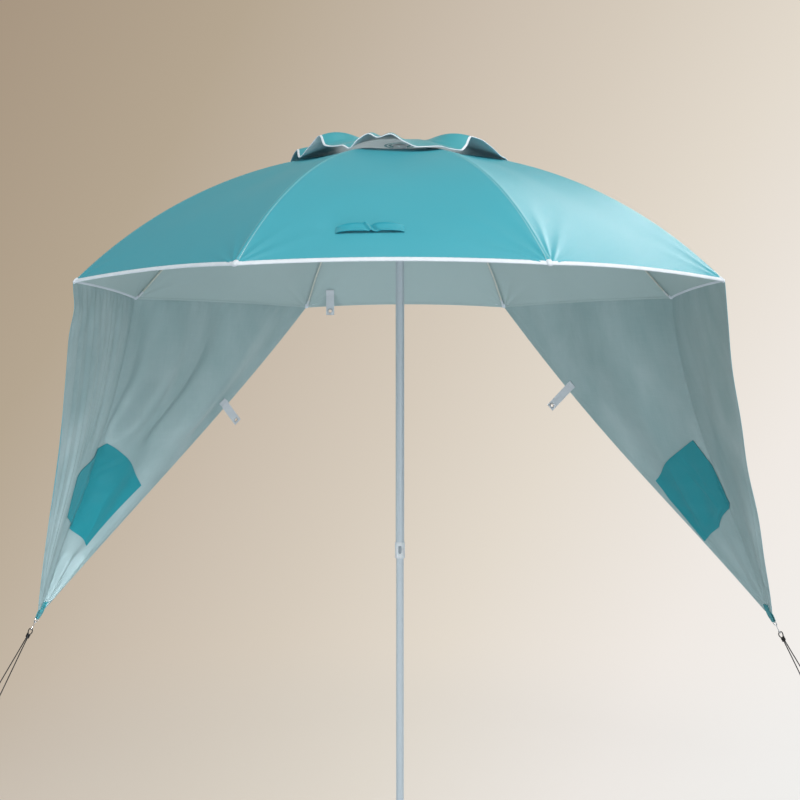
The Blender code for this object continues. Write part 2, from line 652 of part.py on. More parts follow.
def make_runner(plastic):
    bore = UPPER_TUBE_RADIUS + 0.0004
    low = RUNNER_PIVOT_Z - RUNNER_GRIP_LENGTH
    top = RUNNER_PIVOT_Z + FLANGE_HALF
    lip, ring, sleeve, groove, neck, shoulder, rim = (UPPER_TUBE_RADIUS + wall
                                                      for wall in RUNNER_WALLS)
    profile = [(bore, low), (lip, low), (ring, low + 0.003), (ring, low + 0.007)]
    for rib in range(3):
        foot = low + 0.008 + rib * 0.008
        profile += [(groove, foot + 0.001), (groove, foot + 0.004), (sleeve, foot + 0.006)]
    profile += [(neck, top - 2 * FLANGE_HALF - 0.003), (shoulder, top - 2 * FLANGE_HALF),
                (FLANGE_RADIUS, top - 2 * FLANGE_HALF), (FLANGE_RADIUS, top), (neck, top + 0.001),
                (rim, top + 0.005), (bore, top + 0.005)]
    runner = add("runner", turned_mesh("runner", profile, 20, ring=True), plastic,
                 hinge("runner_slide", (0, 0, 0)))
    boolean(runner, slots("runner_slots", RUNNER_PIVOT_RADIUS - EYE_RADIUS - CLEARANCE, RUNNER_PIVOT_Z))


def rod_point(beta, drop=0.0):
    """A point (radius, height) at an angle from the crown on the rib's arc, or a drop inside it."""
    return np.array([(ROD_ARC - drop) * sin(beta), ARC_CENTRE_Z + (ROD_ARC - drop) * cos(beta)])


def linkage():
    """The folding of one rib in its own plane: pins, lengths, and the angles from open to shut."""
    pivot = np.array([PIVOT_RADIUS, PIVOT_Z])
    pin = rod_point(asin(JOINT_REACH / ROD_ARC), LUG_DROP)
    runner = np.array([RUNNER_PIVOT_RADIUS, RUNNER_PIVOT_Z])
    length = float(np.linalg.norm(pin - runner))
    tip = rod_point(RIM_ANGLE - TIP_BACKSET / ARC_RADIUS)
    reach = tip - pivot
    chord = float(np.linalg.norm(reach))
    fold = atan2(reach[1], reach[0]) + acos((FOLDED_TIP_RADIUS - PIVOT_RADIUS) / chord)
    turn = np.array([[cos(fold), sin(fold)], [-sin(fold), cos(fold)]])
    shut_pin = pivot + turn @ (pin - pivot)
    shut_runner = np.array([RUNNER_PIVOT_RADIUS,
                            shut_pin[1] - sqrt(length ** 2 - (shut_pin[0] - RUNNER_PIVOT_RADIUS) ** 2)])
    open_way = atan2(*(runner - pin)[::-1])
    shut_way = atan2(*(shut_runner - shut_pin)[::-1])
    return {"pin": pin, "length": length, "fold": fold, "way": open_way,
            "travel": RUNNER_PIVOT_Z - float(shut_runner[1]),
            "swing": (shut_way - open_way) % (2 * pi) + fold}


def blade_mesh(name, length, root):
    """A flattened rod end along +X from an eye at the origin to a root that the rod goes into."""
    outline = arc((0, 0), EYE_RADIUS, 90, 270, 9) + [(length, -root), (length + 0.004, -root * 0.6),
                                                     (length + 0.004, root * 0.6), (length, root)]
    eye = helper(name, outline_mesh(name, outline, BLADE / 2))
    hole = bore_mesh(CROWN_WIRE_RADIUS + 0.0004, -BLADE, BLADE)
    boolean(eye, helper("eye_hole", hole, rotation=(pi / 2, 0, 0)))
    return baked(eye)


def rod_line():
    """The rod's centreline about the rib's hinge, from its flattened end to the tip's socket."""
    start = asin((PIVOT_RADIUS + BLADE_LENGTH) / ROD_ARC)
    end = RIM_ANGLE - (TIP_BACKSET + TIP_LENGTH - TIP_BORE) / ARC_RADIUS
    middle = [rod_point(b) for b in np.linspace(start, end, ROD_STEPS)]
    return np.array([(p[0] - PIVOT_RADIUS, 0, p[1] - PIVOT_Z) for p in middle])


def make_rib_mesh(link):
    """Rod, flattened inner end and stretcher lug, about the rib's hinge."""
    rod = curve_object("rod", rod_line(), ROD_RADIUS, 1)
    rod = helper("rib", baked(rod))
    boolean(rod, helper("rib_eye", blade_mesh("rib_eye", BLADE_LENGTH, ROD_RADIUS * 0.9)), "UNION")
    slope = asin(JOINT_REACH / ROD_ARC)
    pin = link["pin"] - (PIVOT_RADIUS, PIVOT_Z)
    outline = arc((0, 0), CHEEK_RADIUS, 180, 360, 7) + [(0.0070, LUG_DROP), (-0.0070, LUG_DROP)]
    lug = helper("rib_lug", outline_mesh("rib_lug", outline, BLADE / 2))
    hole = bore_mesh(PIN_RADIUS + CLEARANCE * 1.4, -BLADE, BLADE)
    boolean(lug, helper("lug_hole", hole, rotation=(pi / 2, 0, 0)))
    lug = helper("rib_lug", baked(lug), location=(pin[0], 0, pin[1]), rotation=(0, slope, 0))
    boolean(rod, lug, "UNION")
    return baked(rod)


def make_tip_mesh():
    """Moulded tip over the rib's outer end, about the rib's hinge."""
    bore = ROD_RADIUS + CLEARANCE * 1.2
    end = TIP_LENGTH - TIP_BORE
    profile = [(0, 0), (bore, 0), (bore, -TIP_BORE), (TIP_RADIUS - 0.0002, -TIP_BORE),
               (TIP_RADIUS, -TIP_BORE + 0.002), (TIP_RADIUS, end - 0.005),
               (TIP_RADIUS * 0.7, end - 0.001), (0, end)]
    mesh = turned_mesh("rib_tip", profile, 10)
    line = rod_line()
    way = unit(line[-1] - line[-2])
    place = Matrix.Translation(line[-1] + way * CLEARANCE)
    mesh.transform(place @ Matrix.Rotation(atan2(way[0], way[2]), 4, "Y"))
    return mesh


def make_stretcher_mesh(link):
    """A rod along +X from its fork, which carries the pin, to the flattened end at the runner."""
    half = BLADE / 2 + 0.0004
    width = half + CHEEK
    outline = arc((0, 0), CHEEK_RADIUS, 90, 270, 7) + [(0.012, -0.0032), (0.016, -0.0020),
                                                       (0.016, 0.0020), (0.012, 0.0032)]
    fork = helper("fork", outline_mesh("fork", outline, width))
    gap = box_mesh("fork_gap", (-0.006, -half, -0.006), (0.0088, half, 0.006))
    boolean(fork, helper("fork_gap", gap))
    pin = bore_mesh(PIN_RADIUS, -width + 0.0003, width - 0.0003)
    boolean(fork, helper("fork_pin", pin, rotation=(pi / 2, 0, 0)), "UNION")
    end = link["length"] - BLADE_LENGTH
    rod = baked(curve_object("stretcher_rod", [(0.011, 0, 0), (end, 0, 0)], STRETCHER_RADIUS, 1))
    boolean(fork, helper("stretcher_rod", rod), "UNION")
    blade = blade_mesh("stretcher_eye", BLADE_LENGTH - 0.001, STRETCHER_RADIUS * 0.9)
    blade.transform(Matrix.Translation((link["length"], 0, 0)) @ Matrix.Rotation(pi, 4, "Y"))
    boolean(fork, helper("stretcher_eye", blade), "UNION")
    return baked(fork)


def make_ribs(rod, plastic, steel):
    link = linkage()
    rib_mesh = make_rib_mesh(link)
    tip_mesh = make_tip_mesh()
    stretcher_mesh = make_stretcher_mesh(link)
    for mesh in (rib_mesh, tip_mesh, stretcher_mesh):
        mesh.materials.clear()
        mesh.materials.append(rod)
        mesh.shade_smooth()
        mesh.set_sharp_from_angle(angle=radians(35))
    pin = link["pin"]
    for k, angle in enumerate(RIB_ANGLES):
        spot = (PIVOT_RADIUS * cos(angle), PIVOT_RADIUS * sin(angle), PIVOT_Z)
        axis = hinge(f"rib_hinge_{k + 1}", spot, angle)
        add(f"rib_{k + 1}", rib_mesh, rod, axis)
        add(f"rib_tip_{k + 1}", tip_mesh, plastic, axis)
        joint = hinge(f"stretcher_hinge_{k + 1}", (pin[0] - PIVOT_RADIUS, 0, pin[1] - PIVOT_Z), 0, axis)
        add(f"stretcher_{k + 1}", stretcher_mesh, steel, joint, rotation=(0, -link["way"], 0))


def wing_axes(side):
    """Level direction from the pole to the wing's rib, and the level direction towards the open front."""
    angle = RIB_ANGLES[WING_RIB[side]]
    out = np.array([cos(angle), sin(angle), 0.0])
    front = np.array([-sin(angle), cos(angle), 0.0]) * (1 if side == "left" else -1)
    return out, front


def wing_point(side):
    out, _ = wing_axes(side)
    return out * WING_REACH + np.array([0, 0, WING_HEIGHT])


def hem_at(g):
    """Where the wing's cloth starts, just past the canopy's binding, at a gore count g."""
    edge, out, _ = hem_frames()
    stations = edge + out * WING_HEM_GAP
    at = (g * GORE_COLUMNS) % len(edge)
    first = np.floor(at).astype(int)
    share = (at - first)[..., None]
    return stations[first] * (1 - share) + stations[(first + 1) % len(edge)] * share


def wing_grid(side):
    """Middle surface of a wing: columns from its front edge to its rear edge, rows from hem to point.

    Each column is a straight line that sags towards the pole, and folds run down it as waves across."""
    out, front = wing_axes(side)
    way = 1 if side == "left" else -1
    u = np.linspace(0, 1, WING_COLUMNS + 1)[None, :]
    v = np.linspace(0, 1, WING_ROWS + 1)[:, None]
    top = hem_at(WING_RIB[side] + way * (1 - 2 * u[0]))[None, :, :]
    point = wing_point(side) + (0.5 - u[0])[:, None] * CORNER_WIDTH * front
    power = (1 - SAG_AT) / SAG_AT
    shape = v * (1 - v) ** power / (SAG_AT * (1 - SAG_AT) ** power)
    sag = (SAG_EDGE + (SAG_MIDDLE - SAG_EDGE) * (1 - (2 * u - 1) ** 2)) * shape
    spread = np.sin(pi * v) ** 0.8
    folds = sum(height * np.sin(2 * pi * count * u + start) for height, count, start in WING_FOLDS[side])
    push = folds * spread * (1 - 0.5 * v) - sag
    return top * (1 - v[..., None]) + point[None] * v[..., None] + push[..., None] * out


def grid_at(grid, u, v):
    """Points on a grid's flat quads, with u across its columns and v down its rows, both 0 to 1."""
    rows, columns = np.array(grid.shape[:2]) - 1
    x = np.clip(np.asarray(u, float) * columns, 0, columns - 1e-9)
    y = np.clip(np.asarray(v, float) * rows, 0, rows - 1e-9)
    i, j = np.floor(y).astype(int), np.floor(x).astype(int)
    a, b = (y - i)[..., None], (x - j)[..., None]
    return ((grid[i, j] * (1 - b) + grid[i, j + 1] * b) * (1 - a)
            + (grid[i + 1, j] * (1 - b) + grid[i + 1, j + 1] * b) * a)


def wing_place(side, along, inward):
    """The (u, v) of a spot measured from the wing's point along its rear edge, and in from that edge."""
    way = 1 if side == "left" else -1
    ends = hem_at(WING_RIB[side] + way * np.array([0.0, -1.0])) - wing_point(side)
    edge = unit(ends[1])
    over = ends[0] @ edge
    depth = sqrt(ends[0] @ ends[0] - over ** 2)
    middle = inward / depth
    rear = (along - middle * over) / np.linalg.norm(ends[1])
    return 0.5 + 0.5 * rear / (rear + middle), 1 - (rear + middle)


def make_wing(side, cloth, accent):
    grid = wing_grid(side)
    normal = grid_normals(grid)
    out, _ = wing_axes(side)
    normal *= np.sign(normal @ out)[..., None]
    half = normal * WING_CLOTH / 2
    name = side + "_wing"
    wing = add(name, sheet_mesh(name, grid + half, grid - half), cloth)

    rows, columns = POCKET_GRID
    along = np.linspace(*POCKET_ALONG, rows)[:, None]
    share = np.linspace(0, 1, columns)[None, :]
    way = 1 if side == "left" else -1
    ends = hem_at(WING_RIB[side] + way * np.array([0.0, -1.0])) - wing_point(side)
    over = ends[0] @ unit(ends[1])
    crease = along * sqrt(ends[0] @ ends[0] - over ** 2) / over - POCKET_TO_CREASE
    inward = POCKET_IN[0] + (np.minimum(POCKET_IN[1], crease) - POCKET_IN[0]) * share
    u, v = wing_place(side, along + 0 * share, inward)
    on_wing = grid_at(grid, u, v)
    away = -unit(grid_at(normal, u, v).sum(axis=(0, 1)))
    steps = np.linspace(0, 1, 121)
    cloth = grid_at(grid, steps[:, None] + 0 * steps, 0 * steps[:, None] + steps).reshape(-1, 3)
    apart = cloth[None] - on_wing.reshape(-1, 1, 3)
    over_it = apart @ away
    beside = np.linalg.norm(apart - over_it[..., None] * away, axis=-1)
    reach = (POCKET_ALONG[1] - POCKET_ALONG[0]) / (rows - 1) * 1.4
    rise = np.where(beside < reach, over_it, 0).max(axis=1).reshape(on_wing.shape[:2])
    belly = POCKET_BELLY * np.sin(pi * np.linspace(0, 1, rows))[:, None] * np.sin(pi * share)
    near = on_wing + away * (rise + belly + (WING_CLOTH / 2 + CLEARANCE))[..., None]
    name = side + "_pocket"
    return wing, add(name, sheet_mesh(name, near + away * POCKET_CLOTH, near), accent)


def strip_rings(path, across, width, thickness):
    """Rectangles along a path; across is the direction of the width."""
    path = np.asarray(path, float)
    along = np.gradient(path, axis=0)
    along /= np.linalg.norm(along, axis=1, keepdims=True)
    side = np.broadcast_to(np.asarray(across, float), path.shape)
    side = side - along * (side * along).sum(axis=1, keepdims=True)
    side /= np.linalg.norm(side, axis=1, keepdims=True)
    face = np.cross(along, side)
    corners = [(-1, -1), (1, -1), (1, 1), (-1, 1)]
    return np.stack([path + a * side * width / 2 + b * face * thickness / 2 for a, b in corners], axis=1)


def make_eyelet_tab(prefix, path, across, tape, metal):
    """Webbing along a path, with a metal eyelet through it near its free end."""
    name = prefix + "_tab"
    strip = add(name, loft_mesh(name, strip_rings(path, across, TAB_WIDTH, WEBBING)), tape)
    back = unit(np.asarray(path[-2]) - path[-1])
    centre = Vector(np.asarray(path[-1]) + back * (EYELET_FLANGE + 0.004))
    face = Vector(np.cross(back, unit(across))).normalized()
    turn = Vector((0, 0, 1)).rotation_difference(face).to_euler()
    hole = bore_mesh(EYELET_BARREL + CLEARANCE * 1.5, -0.004, 0.004, 12)
    boolean(strip, helper(prefix + "_hole", hole, location=centre, rotation=turn))
    low = WEBBING / 2 + CLEARANCE
    high = low + EYELET_WALL
    profile = [(EYELET_HOLE, -high), (EYELET_FLANGE - 0.0005, -high), (EYELET_FLANGE, -low),
               (EYELET_BARREL, -low), (EYELET_BARREL, low), (EYELET_FLANGE, low),
               (EYELET_FLANGE - 0.0005, high), (EYELET_HOLE, high)]
    ring = turned_mesh("eyelet", profile, 12, ring=True)
    return strip, add(prefix + "_eyelet", ring, metal, None, centre, turn)


def make_edge_tab(side, tape, metal):
    """Tab sewn inside the wing's rear edge, hanging out past it."""
    grid = wing_grid(side)
    normal = grid_normals(grid)
    out, front = wing_axes(side)
    normal *= np.sign(normal @ out)[..., None]
    along = EDGE_TAB_ALONG[side]
    u, v = wing_place(side, along, np.array(EDGE_TAB_SEWN))
    lift = WING_CLOTH / 2 + WEBBING / 2 + CLEARANCE * 3
    points = grid_at(grid, u, v) - grid_at(normal, u, v) * lift
    way = unit(points[2] - points[0])
    free = [points[2] + way * s + np.array([0, 0, -TAB_DROOP * s ** 1.5])
            for s in np.array([0.3, 0.65, 1.0]) * EDGE_TAB_FREE[side]]
    rear = np.array([-1.0 if side == "left" else 1.0])
    edge = unit(wing_point(side) - hem_at(WING_RIB[side] + rear)[0])
    return make_eyelet_tab(side + "_edge", [*points, *free], edge, tape, metal)


def make_back_tab(tape, metal):
    """Tab sewn inside the back gore, hanging down past the hem."""
    spots = []
    for t in BACK_TAB_SEWN:
        trial = canopy_surface(t, BACK_GORE + np.linspace(0, 0.999, 41))
        spot = np.array([np.interp(BACK_TAB_X, trial[::-1, 0], trial[::-1, i]) for i in range(3)])
        spots.append(spot)
    slope = unit(spots[1] - spots[0])
    inner = np.cross(slope, [1, 0, 0])
    inner *= -np.sign(inner[2])
    sewn = [s + inner * (CLOTH + BACK_TAB_ROOM + WEBBING / 2) for s in spots]
    drop = sewn[-1]
    hang = [drop + slope * 0.006 + np.array([0, 0, -0.004])]
    hang += [hang[0] + np.array([0, 0, -s]) for s in (0.012, 0.045, BACK_TAB_LENGTH - 0.030)]
    make_eyelet_tab("back", [*sewn, *hang], (1, 0, 0), tape, metal)


def make_closure_strap(accent):
    """Folded band on the front gore, tacked at both ends and standing off the cloth in two soft waves."""
    x = np.linspace(*STRAP_X, 13)
    middle = 1 - STRAP_FROM_HEM / GORE_LENGTH
    half = STRAP_WIDTH / 2 / GORE_LENGTH
    grid = canopy_grid()
    around = (FRONT_GORE + np.linspace(0, 1, 81)) * GORE_COLUMNS / (grid.shape[1] - 1)
    rows = []
    for t in (middle - half, middle, middle + half):
        line = grid_at(grid, around, t + 0 * around)
        order = np.argsort(line[:, 0])
        rows.append(np.stack([np.interp(x, line[order, 0], line[order, i]) for i in range(3)], axis=1))
    base = np.stack(rows)
    normal = grid_normals(base)
    normal *= np.sign(normal[..., 2:])
    share = np.linspace(0, 1, 13)[None, :]
    curl = np.array([[STRAP_CURL], [0.0], [0.0]])
    wave = STRAP_WAVE * np.sin(2 * pi * share) ** 2 + curl * np.sin(pi * share)
    low = base + normal * (CLEARANCE * 3 + wave)[..., None]
    add("closure_strap", sheet_mesh("closure_strap", low + normal * STRAP_THICKNESS, low), accent)


def line_axes(side):
    """Down the guy line, out from it on the far side from the pole, and level across it."""
    out, front = wing_axes(side)
    slope = radians(ROPE_SLOPE_DEG)
    down = out * cos(slope) + np.array([0, 0, -sin(slope)])
    lift = out * sin(slope) + np.array([0, 0, cos(slope)])
    return np.array([down, lift, front])


def on_line(side, spots):
    """World points for spots given as (down the guy line from the wing's point, out from it, across it)."""
    return wing_point(side) + np.asarray(spots, float) @ line_axes(side)


def make_corner_tab(side, accent):
    """Webbing folded round the ring, with a leg sewn on each face of the wing's point."""
    grid = wing_grid(side)
    _, lift, _ = line_axes(side)
    normal = unit(grid_at(grid_normals(grid), 0.5, 0.99))
    normal *= np.sign(normal @ lift)
    gap = WING_CLOTH / 2 + WEBBING / 2 + CLEARANCE * 3
    turn = RING_WIRE * 1.5 + WEBBING / 2 + CLEARANCE * 2
    across = np.linspace(-0.5, 0.5, 5)
    hem_width = np.linalg.norm(grid[0, -1] - grid[0, 0])
    length = np.linalg.norm(grid[0, WING_COLUMNS // 2] - grid[-1, WING_COLUMNS // 2])

    def leg(back, sign):
        here = CORNER_WIDTH + (hem_width - CORNER_WIDTH) * back / length
        spots = grid_at(grid, 0.5 - across * CORNER_TAB_WIDTH / here, 1 - back / length)
        return spots + sign * gap * normal

    def free(along, height, width):
        spread = across * width
        ring = (RING_RADIUS - np.sqrt(RING_RADIUS ** 2 - spread ** 2)) if width < CORNER_TAB_WIDTH else 0
        return on_line(side, np.stack([along + ring + 0 * across, height + 0 * across, spread], axis=1))

    bend = [free(CORNER_TAB_FREE + turn * sin(a), turn * cos(a), CORNER_TAB_NECK)
            for a in np.radians(np.linspace(0, 180, 7))]
    backs = (CORNER_TAB_GRIP, CORNER_TAB_GRIP / 2, 0.001)
    upper = [leg(back, 1) for back in backs] + [free(CORNER_TAB_FREE * 0.4, turn, CORNER_TAB_WIDTH)]
    lower = [leg(back, -1) for back in backs] + [free(CORNER_TAB_FREE * 0.4, -turn, CORNER_TAB_WIDTH)]
    lines = np.array(upper + bend + lower[::-1])
    face = grid_normals(lines) * WEBBING / 2
    rings = np.concatenate([lines + face, (lines - face)[:, ::-1]], axis=1)
    name = side + "_corner_tab"
    return add(name, loft_mesh(name, rings), accent)


def make_guy_rope(side, cord):
    """One cord: from its stopped end at the slider up through the hook's eye, down and round the peg."""
    top = HOOK_EYE_AT + HOOK_EYE - HOOK_WIRE - ROPE_RADIUS - CLEARANCE * 3
    knot = top + KNOT_FROM_HOOK
    near = ROPE_RADIUS + STRAND_GAP / 2
    half = SLIDER_HOLES / 2
    straight = SLIDER_THICKNESS * 1.5
    eye = top + ROPE_BEND
    spots = [(SLIDER_AT + straight, half, 0), (SLIDER_AT - straight, half, 0), (knot + 0.02, near, 0),
             (knot, near, 0), (eye + 0.008, ROPE_BEND * 0.9, 0)]
    half_turn = np.radians(np.linspace(0, 180, 9))
    spots += [(eye - ROPE_BEND * sin(a), ROPE_BEND * cos(a), 0) for a in half_turn]
    spots += [(eye + 0.008, -ROPE_BEND * 0.9, 0), (knot, -near, 0), (knot + 0.02, -near, 0),
              (SLIDER_AT - straight, -half, 0), (SLIDER_AT + straight, -half, 0)]
    across_peg = line_axes(side)[0] @ peg_axes(side)[1]
    loop = PEG_AT + (PEG_RADIUS + ROPE_RADIUS + CLEARANCE) / across_peg - ROPE_BEND
    round_peg = np.radians(np.linspace(130, -130, 11))
    spots += [(loop - 0.030, 0, near), (loop - 0.018, 0, near * 1.3)]
    spots += [(loop + ROPE_BEND * cos(a), 0, ROPE_BEND * sin(a)) for a in round_peg]
    spots += [(loop - 0.018, 0, -near * 1.3), (loop - 0.032, 0, -near)]
    path = smooth_path(on_line(side, spots), ROPE_STEP)
    return curve_object(side + "_guy_rope", path, ROPE_RADIUS, 2, cord)


def make_ring_and_hook(side, steel):
    centre = CORNER_TAB_FREE + RING_RADIUS
    spots = [(centre + RING_RADIUS * cos(a), 0, RING_RADIUS * sin(a))
             for a in np.linspace(0, 2 * pi, 16, endpoint=False)]
    ring = curve_object(side + "_corner_ring", on_line(side, spots), RING_WIRE, 1, steel, cyclic=True)

    wire = HOOK_WIRE + RING_WIRE + CLEARANCE * 1.5
    start = CORNER_TAB_FREE + 2 * RING_RADIUS
    bend = np.radians(np.linspace(-80, 130, 8))
    eye = np.radians(np.linspace(20, 310, 11))
    spots = [(start - wire * cos(a), wire * sin(a), 0) for a in bend]
    spots += [(start + wire + 0.003, wire * 0.3, 0), (start + wire + 0.007, 0, 0)]
    spots += [(HOOK_EYE_AT - HOOK_EYE - 0.004, 0, 0)]
    spots += [(HOOK_EYE_AT - HOOK_EYE * cos(a), 0, HOOK_EYE * sin(a)) for a in eye]
    hook = curve_object(side + "_wire_hook", on_line(side, spots), HOOK_WIRE, 1, steel)
    return ring, hook


def make_line_slider(side, plastic):
    """Flat bar with a hole for each strand, square to the line."""
    _, lift, front = line_axes(side)
    place = Matrix((lift, np.cross(front, lift), front)).transposed().to_4x4()
    place.translation = on_line(side, [(SLIDER_AT, 0, 0)])[0]
    radius = SLIDER_WIDTH / 2
    straight = SLIDER_LENGTH / 2 - radius
    outline = arc((straight, 0), radius, -90, 90, 7) + arc((-straight, 0), radius, 90, 270, 7)
    name = side + "_line_slider"
    slider = add(name, outline_mesh(name, outline, SLIDER_THICKNESS / 2), plastic)
    slider.matrix_world = place
    for end in (-1, 1):
        drill = helper(name + "_hole", bore_mesh(ROPE_RADIUS + CLEARANCE * 2, -0.01, 0.01))
        drill.matrix_world = (place @ Matrix.Translation((end * SLIDER_HOLES / 2, 0, 0))
                              @ Matrix.Rotation(pi / 2, 4, "X"))
        boolean(slider, drill)
    return slider


def peg_axes(side):
    """Up the leaning peg, and square to it away from the shelter."""
    out, _ = wing_axes(side)
    lean = radians(PEG_LEAN_DEG)
    return (out * sin(lean) + np.array([0, 0, cos(lean)]),
            out * cos(lean) - np.array([0, 0, sin(lean)]))


def make_ground_peg(side, steel):
    """Wire peg that leans away from the shelter and turns over at its top to keep the cord on."""
    up, away = peg_axes(side)
    spots = [(-PEG_LENGTH + PEG_NECK, 0), (-PEG_LENGTH / 2, 0), (PEG_NECK, 0)]
    spots += [(PEG_NECK + PEG_CROOK * sin(a), PEG_CROOK - PEG_CROOK * cos(a))
              for a in np.radians((36, 72, 108, 144, 180))]
    spots += [(PEG_NECK - 0.012, 2 * PEG_CROOK)]
    path = on_line(side, [(PEG_AT, 0, 0)]) + np.array([up * a + away * b for a, b in spots])
    return curve_object(side + "_ground_peg", path, PEG_RADIUS, 1, steel)


def main():
    clear_scene()
    teal = make_material("teal_cloth", (74, 170, 190), 0.7)
    teal_webbing = make_material("teal_webbing", (20, 138, 142), 0.75)
    silver = make_material("silver_cloth", (140, 158, 160), 0.55)
    white_tape = make_material("white_tape", (223, 230, 240), 0.7)
    grey_webbing = make_material("grey_webbing", (178, 184, 190), 0.75)
    coated_tube = make_material("coated_tube", (205, 212, 218), 0.35, 0.3)
    white_plastic = make_material("white_plastic", (228, 230, 232), 0.45)
    rib_rod = make_material("rib_rod", (218, 214, 200), 0.4)
    steel = make_material("plated_steel", (190, 192, 196), 0.3, 1.0)
    black_cord = make_material("black_cord", (22, 24, 26), 0.8)
    black_plastic = make_material("black_plastic", (30, 32, 34), 0.5)

    make_lower_pole(coated_tube, black_plastic)
    make_upper_pole(coated_tube, white_plastic, white_plastic)
    make_crown(white_plastic, steel, white_plastic)
    make_runner(white_plastic)
    make_ribs(rib_rod, white_plastic, steel)
    make_canopy(teal)
    make_hem_binding(white_tape)
    make_vent_cap(teal)
    make_closure_strap(teal_webbing)
    make_back_tab(grey_webbing, steel)
    for side in ("left", "right"):
        out, _ = wing_axes(side)
        axis = hinge(side + "_wing_hinge", out * RIM_RADIUS + np.array([0, 0, RIM_HEIGHT]))
        pieces = [*make_wing(side, silver, teal_webbing), *make_edge_tab(side, grey_webbing, steel),
                  make_corner_tab(side, teal_webbing), *make_ring_and_hook(side, steel),
                  make_guy_rope(side, black_cord), make_line_slider(side, black_plastic),
                  make_ground_peg(side, steel)]
        for piece in pieces:
            hang(piece, axis)


main()
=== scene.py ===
from math import asin, cos, pi, radians, sin, sqrt

import bpy
import numpy as np
from mathutils import Matrix


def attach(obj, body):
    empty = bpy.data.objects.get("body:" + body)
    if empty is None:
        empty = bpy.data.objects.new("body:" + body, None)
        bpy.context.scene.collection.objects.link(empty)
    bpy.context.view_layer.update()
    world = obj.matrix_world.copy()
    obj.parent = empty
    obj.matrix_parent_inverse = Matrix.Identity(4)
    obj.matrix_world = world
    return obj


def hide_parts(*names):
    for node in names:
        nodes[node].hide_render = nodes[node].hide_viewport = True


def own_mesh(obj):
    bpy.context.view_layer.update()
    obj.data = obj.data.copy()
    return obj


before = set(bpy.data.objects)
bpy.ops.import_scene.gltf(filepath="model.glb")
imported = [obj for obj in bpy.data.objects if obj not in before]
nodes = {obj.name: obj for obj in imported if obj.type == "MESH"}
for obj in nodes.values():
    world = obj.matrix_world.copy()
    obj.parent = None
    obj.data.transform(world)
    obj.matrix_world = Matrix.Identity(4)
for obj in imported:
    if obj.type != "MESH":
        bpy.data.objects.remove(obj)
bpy.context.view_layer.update()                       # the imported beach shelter: bodies, nodes, joints, record
print("frame loaded:", len(nodes), "CAD nodes")

# sizes that several pieces share, in metres
shelter = dict(
    ribs=8, rimRadius=1.05, rimHeight=1.757, rise=0.4515,       # the dome that the ribs bend to
    scallop=(0.009, 0.020, 0.009, 0.009, 0.020, 0.020, 0.020, 0.009),   # how far each gore's hem is drawn up
    gorePull=0.009, ventHole=0.21, cloth=0.0015,
    gatherAt=2.0,                       # height of a point on the pole
    wingReach=1.470, wingHeight=0.600, wingCloth=0.0012, wingGap=0.0023, cornerWidth=0.042,
)
goreAngle = 2 * pi / shelter["ribs"]
domeRadius = (shelter["rimRadius"] ** 2 + shelter["rise"] ** 2) / (2 * shelter["rise"])
domeCentre = shelter["rimHeight"] + shelter["rise"] - domeRadius
rimAngle = asin(shelter["rimRadius"] / domeRadius)
ventAngle = asin(shelter["ventHole"] / domeRadius)
goreLength = domeRadius * (rimAngle - ventAngle)
wingRib = dict(left=3, right=0)         # counted from 22.5 degrees, as the CAD does
wayOf = dict(left=1, right=-1)          # the sense in which each side's rows run round the hem


def linearColour(code):                 # "#rrggbb" in sRGB to linear, with alpha 1
    parts = np.array([int(code[i:i + 2], 16) / 255 for i in (1, 3, 5)])
    parts = np.where(parts > 0.04045, ((parts + 0.055) / 1.055) ** 2.4, parts / 12.92)
    return (*parts.tolist(), 1.0)


def addNode(tree, kind, inputs=None, **settings):
    # one node: an input is fed by a socket, or by another node's first live output, or is set to a value
    made = tree.nodes.new("ShaderNode" + kind)
    for key, value in settings.items():
        setattr(made, key, value)
    for key, value in (inputs or {}).items():
        if isinstance(value, bpy.types.Node):
            value = next(socket for socket in value.outputs if socket.enabled)
        if isinstance(value, bpy.types.NodeSocket):
            tree.links.new(value, made.inputs[key])
        else:
            made.inputs[key].default_value = value
    return made


def newFinish(name, **values):          # a Principled material; constants go straight on its sockets
    material = bpy.data.materials.new(name)
    material.use_nodes = True
    shader = material.node_tree.nodes["Principled BSDF"]
    for key, value in values.items():
        shader.inputs[key.replace("_", " ")].default_value = value
    return material, material.node_tree, shader


def unit(v):                            # a direction: the vector over its own length
    v = np.asarray(v, float)
    return v / np.linalg.norm(v, axis=-1, keepdims=True)


def pairs(a, b):                        # two numbers at every place of a grid
    return np.stack(np.broadcast_arrays(a, b), axis=-1)


def hump(x, at, width):                 # a bell curve, 1 at its middle
    return np.exp(-((x - at) / width) ** 2)


def smoothStep(low, high, x):           # 0 below low, 1 above high, eased between
    s = np.clip((np.asarray(x, float) - low) / (high - low), 0, 1)
    return s * s * (3 - 2 * s)


def gridNormals(points):                # rows crossed with columns, unit length
    return unit(np.cross(np.gradient(points, axis=0), np.gradient(points, axis=1)))


def gridFaces(rows, columns, wrap=False):   # the quads of a grid whose points run row by row
    i, j = np.meshgrid(np.arange(rows - 1), np.arange(columns if wrap else columns - 1), indexing="ij")
    k = (j + 1) % columns
    return np.stack([i * columns + j, i * columns + k, (i + 1) * columns + k, (i + 1) * columns + j],
                    axis=-1).reshape(-1, 4)


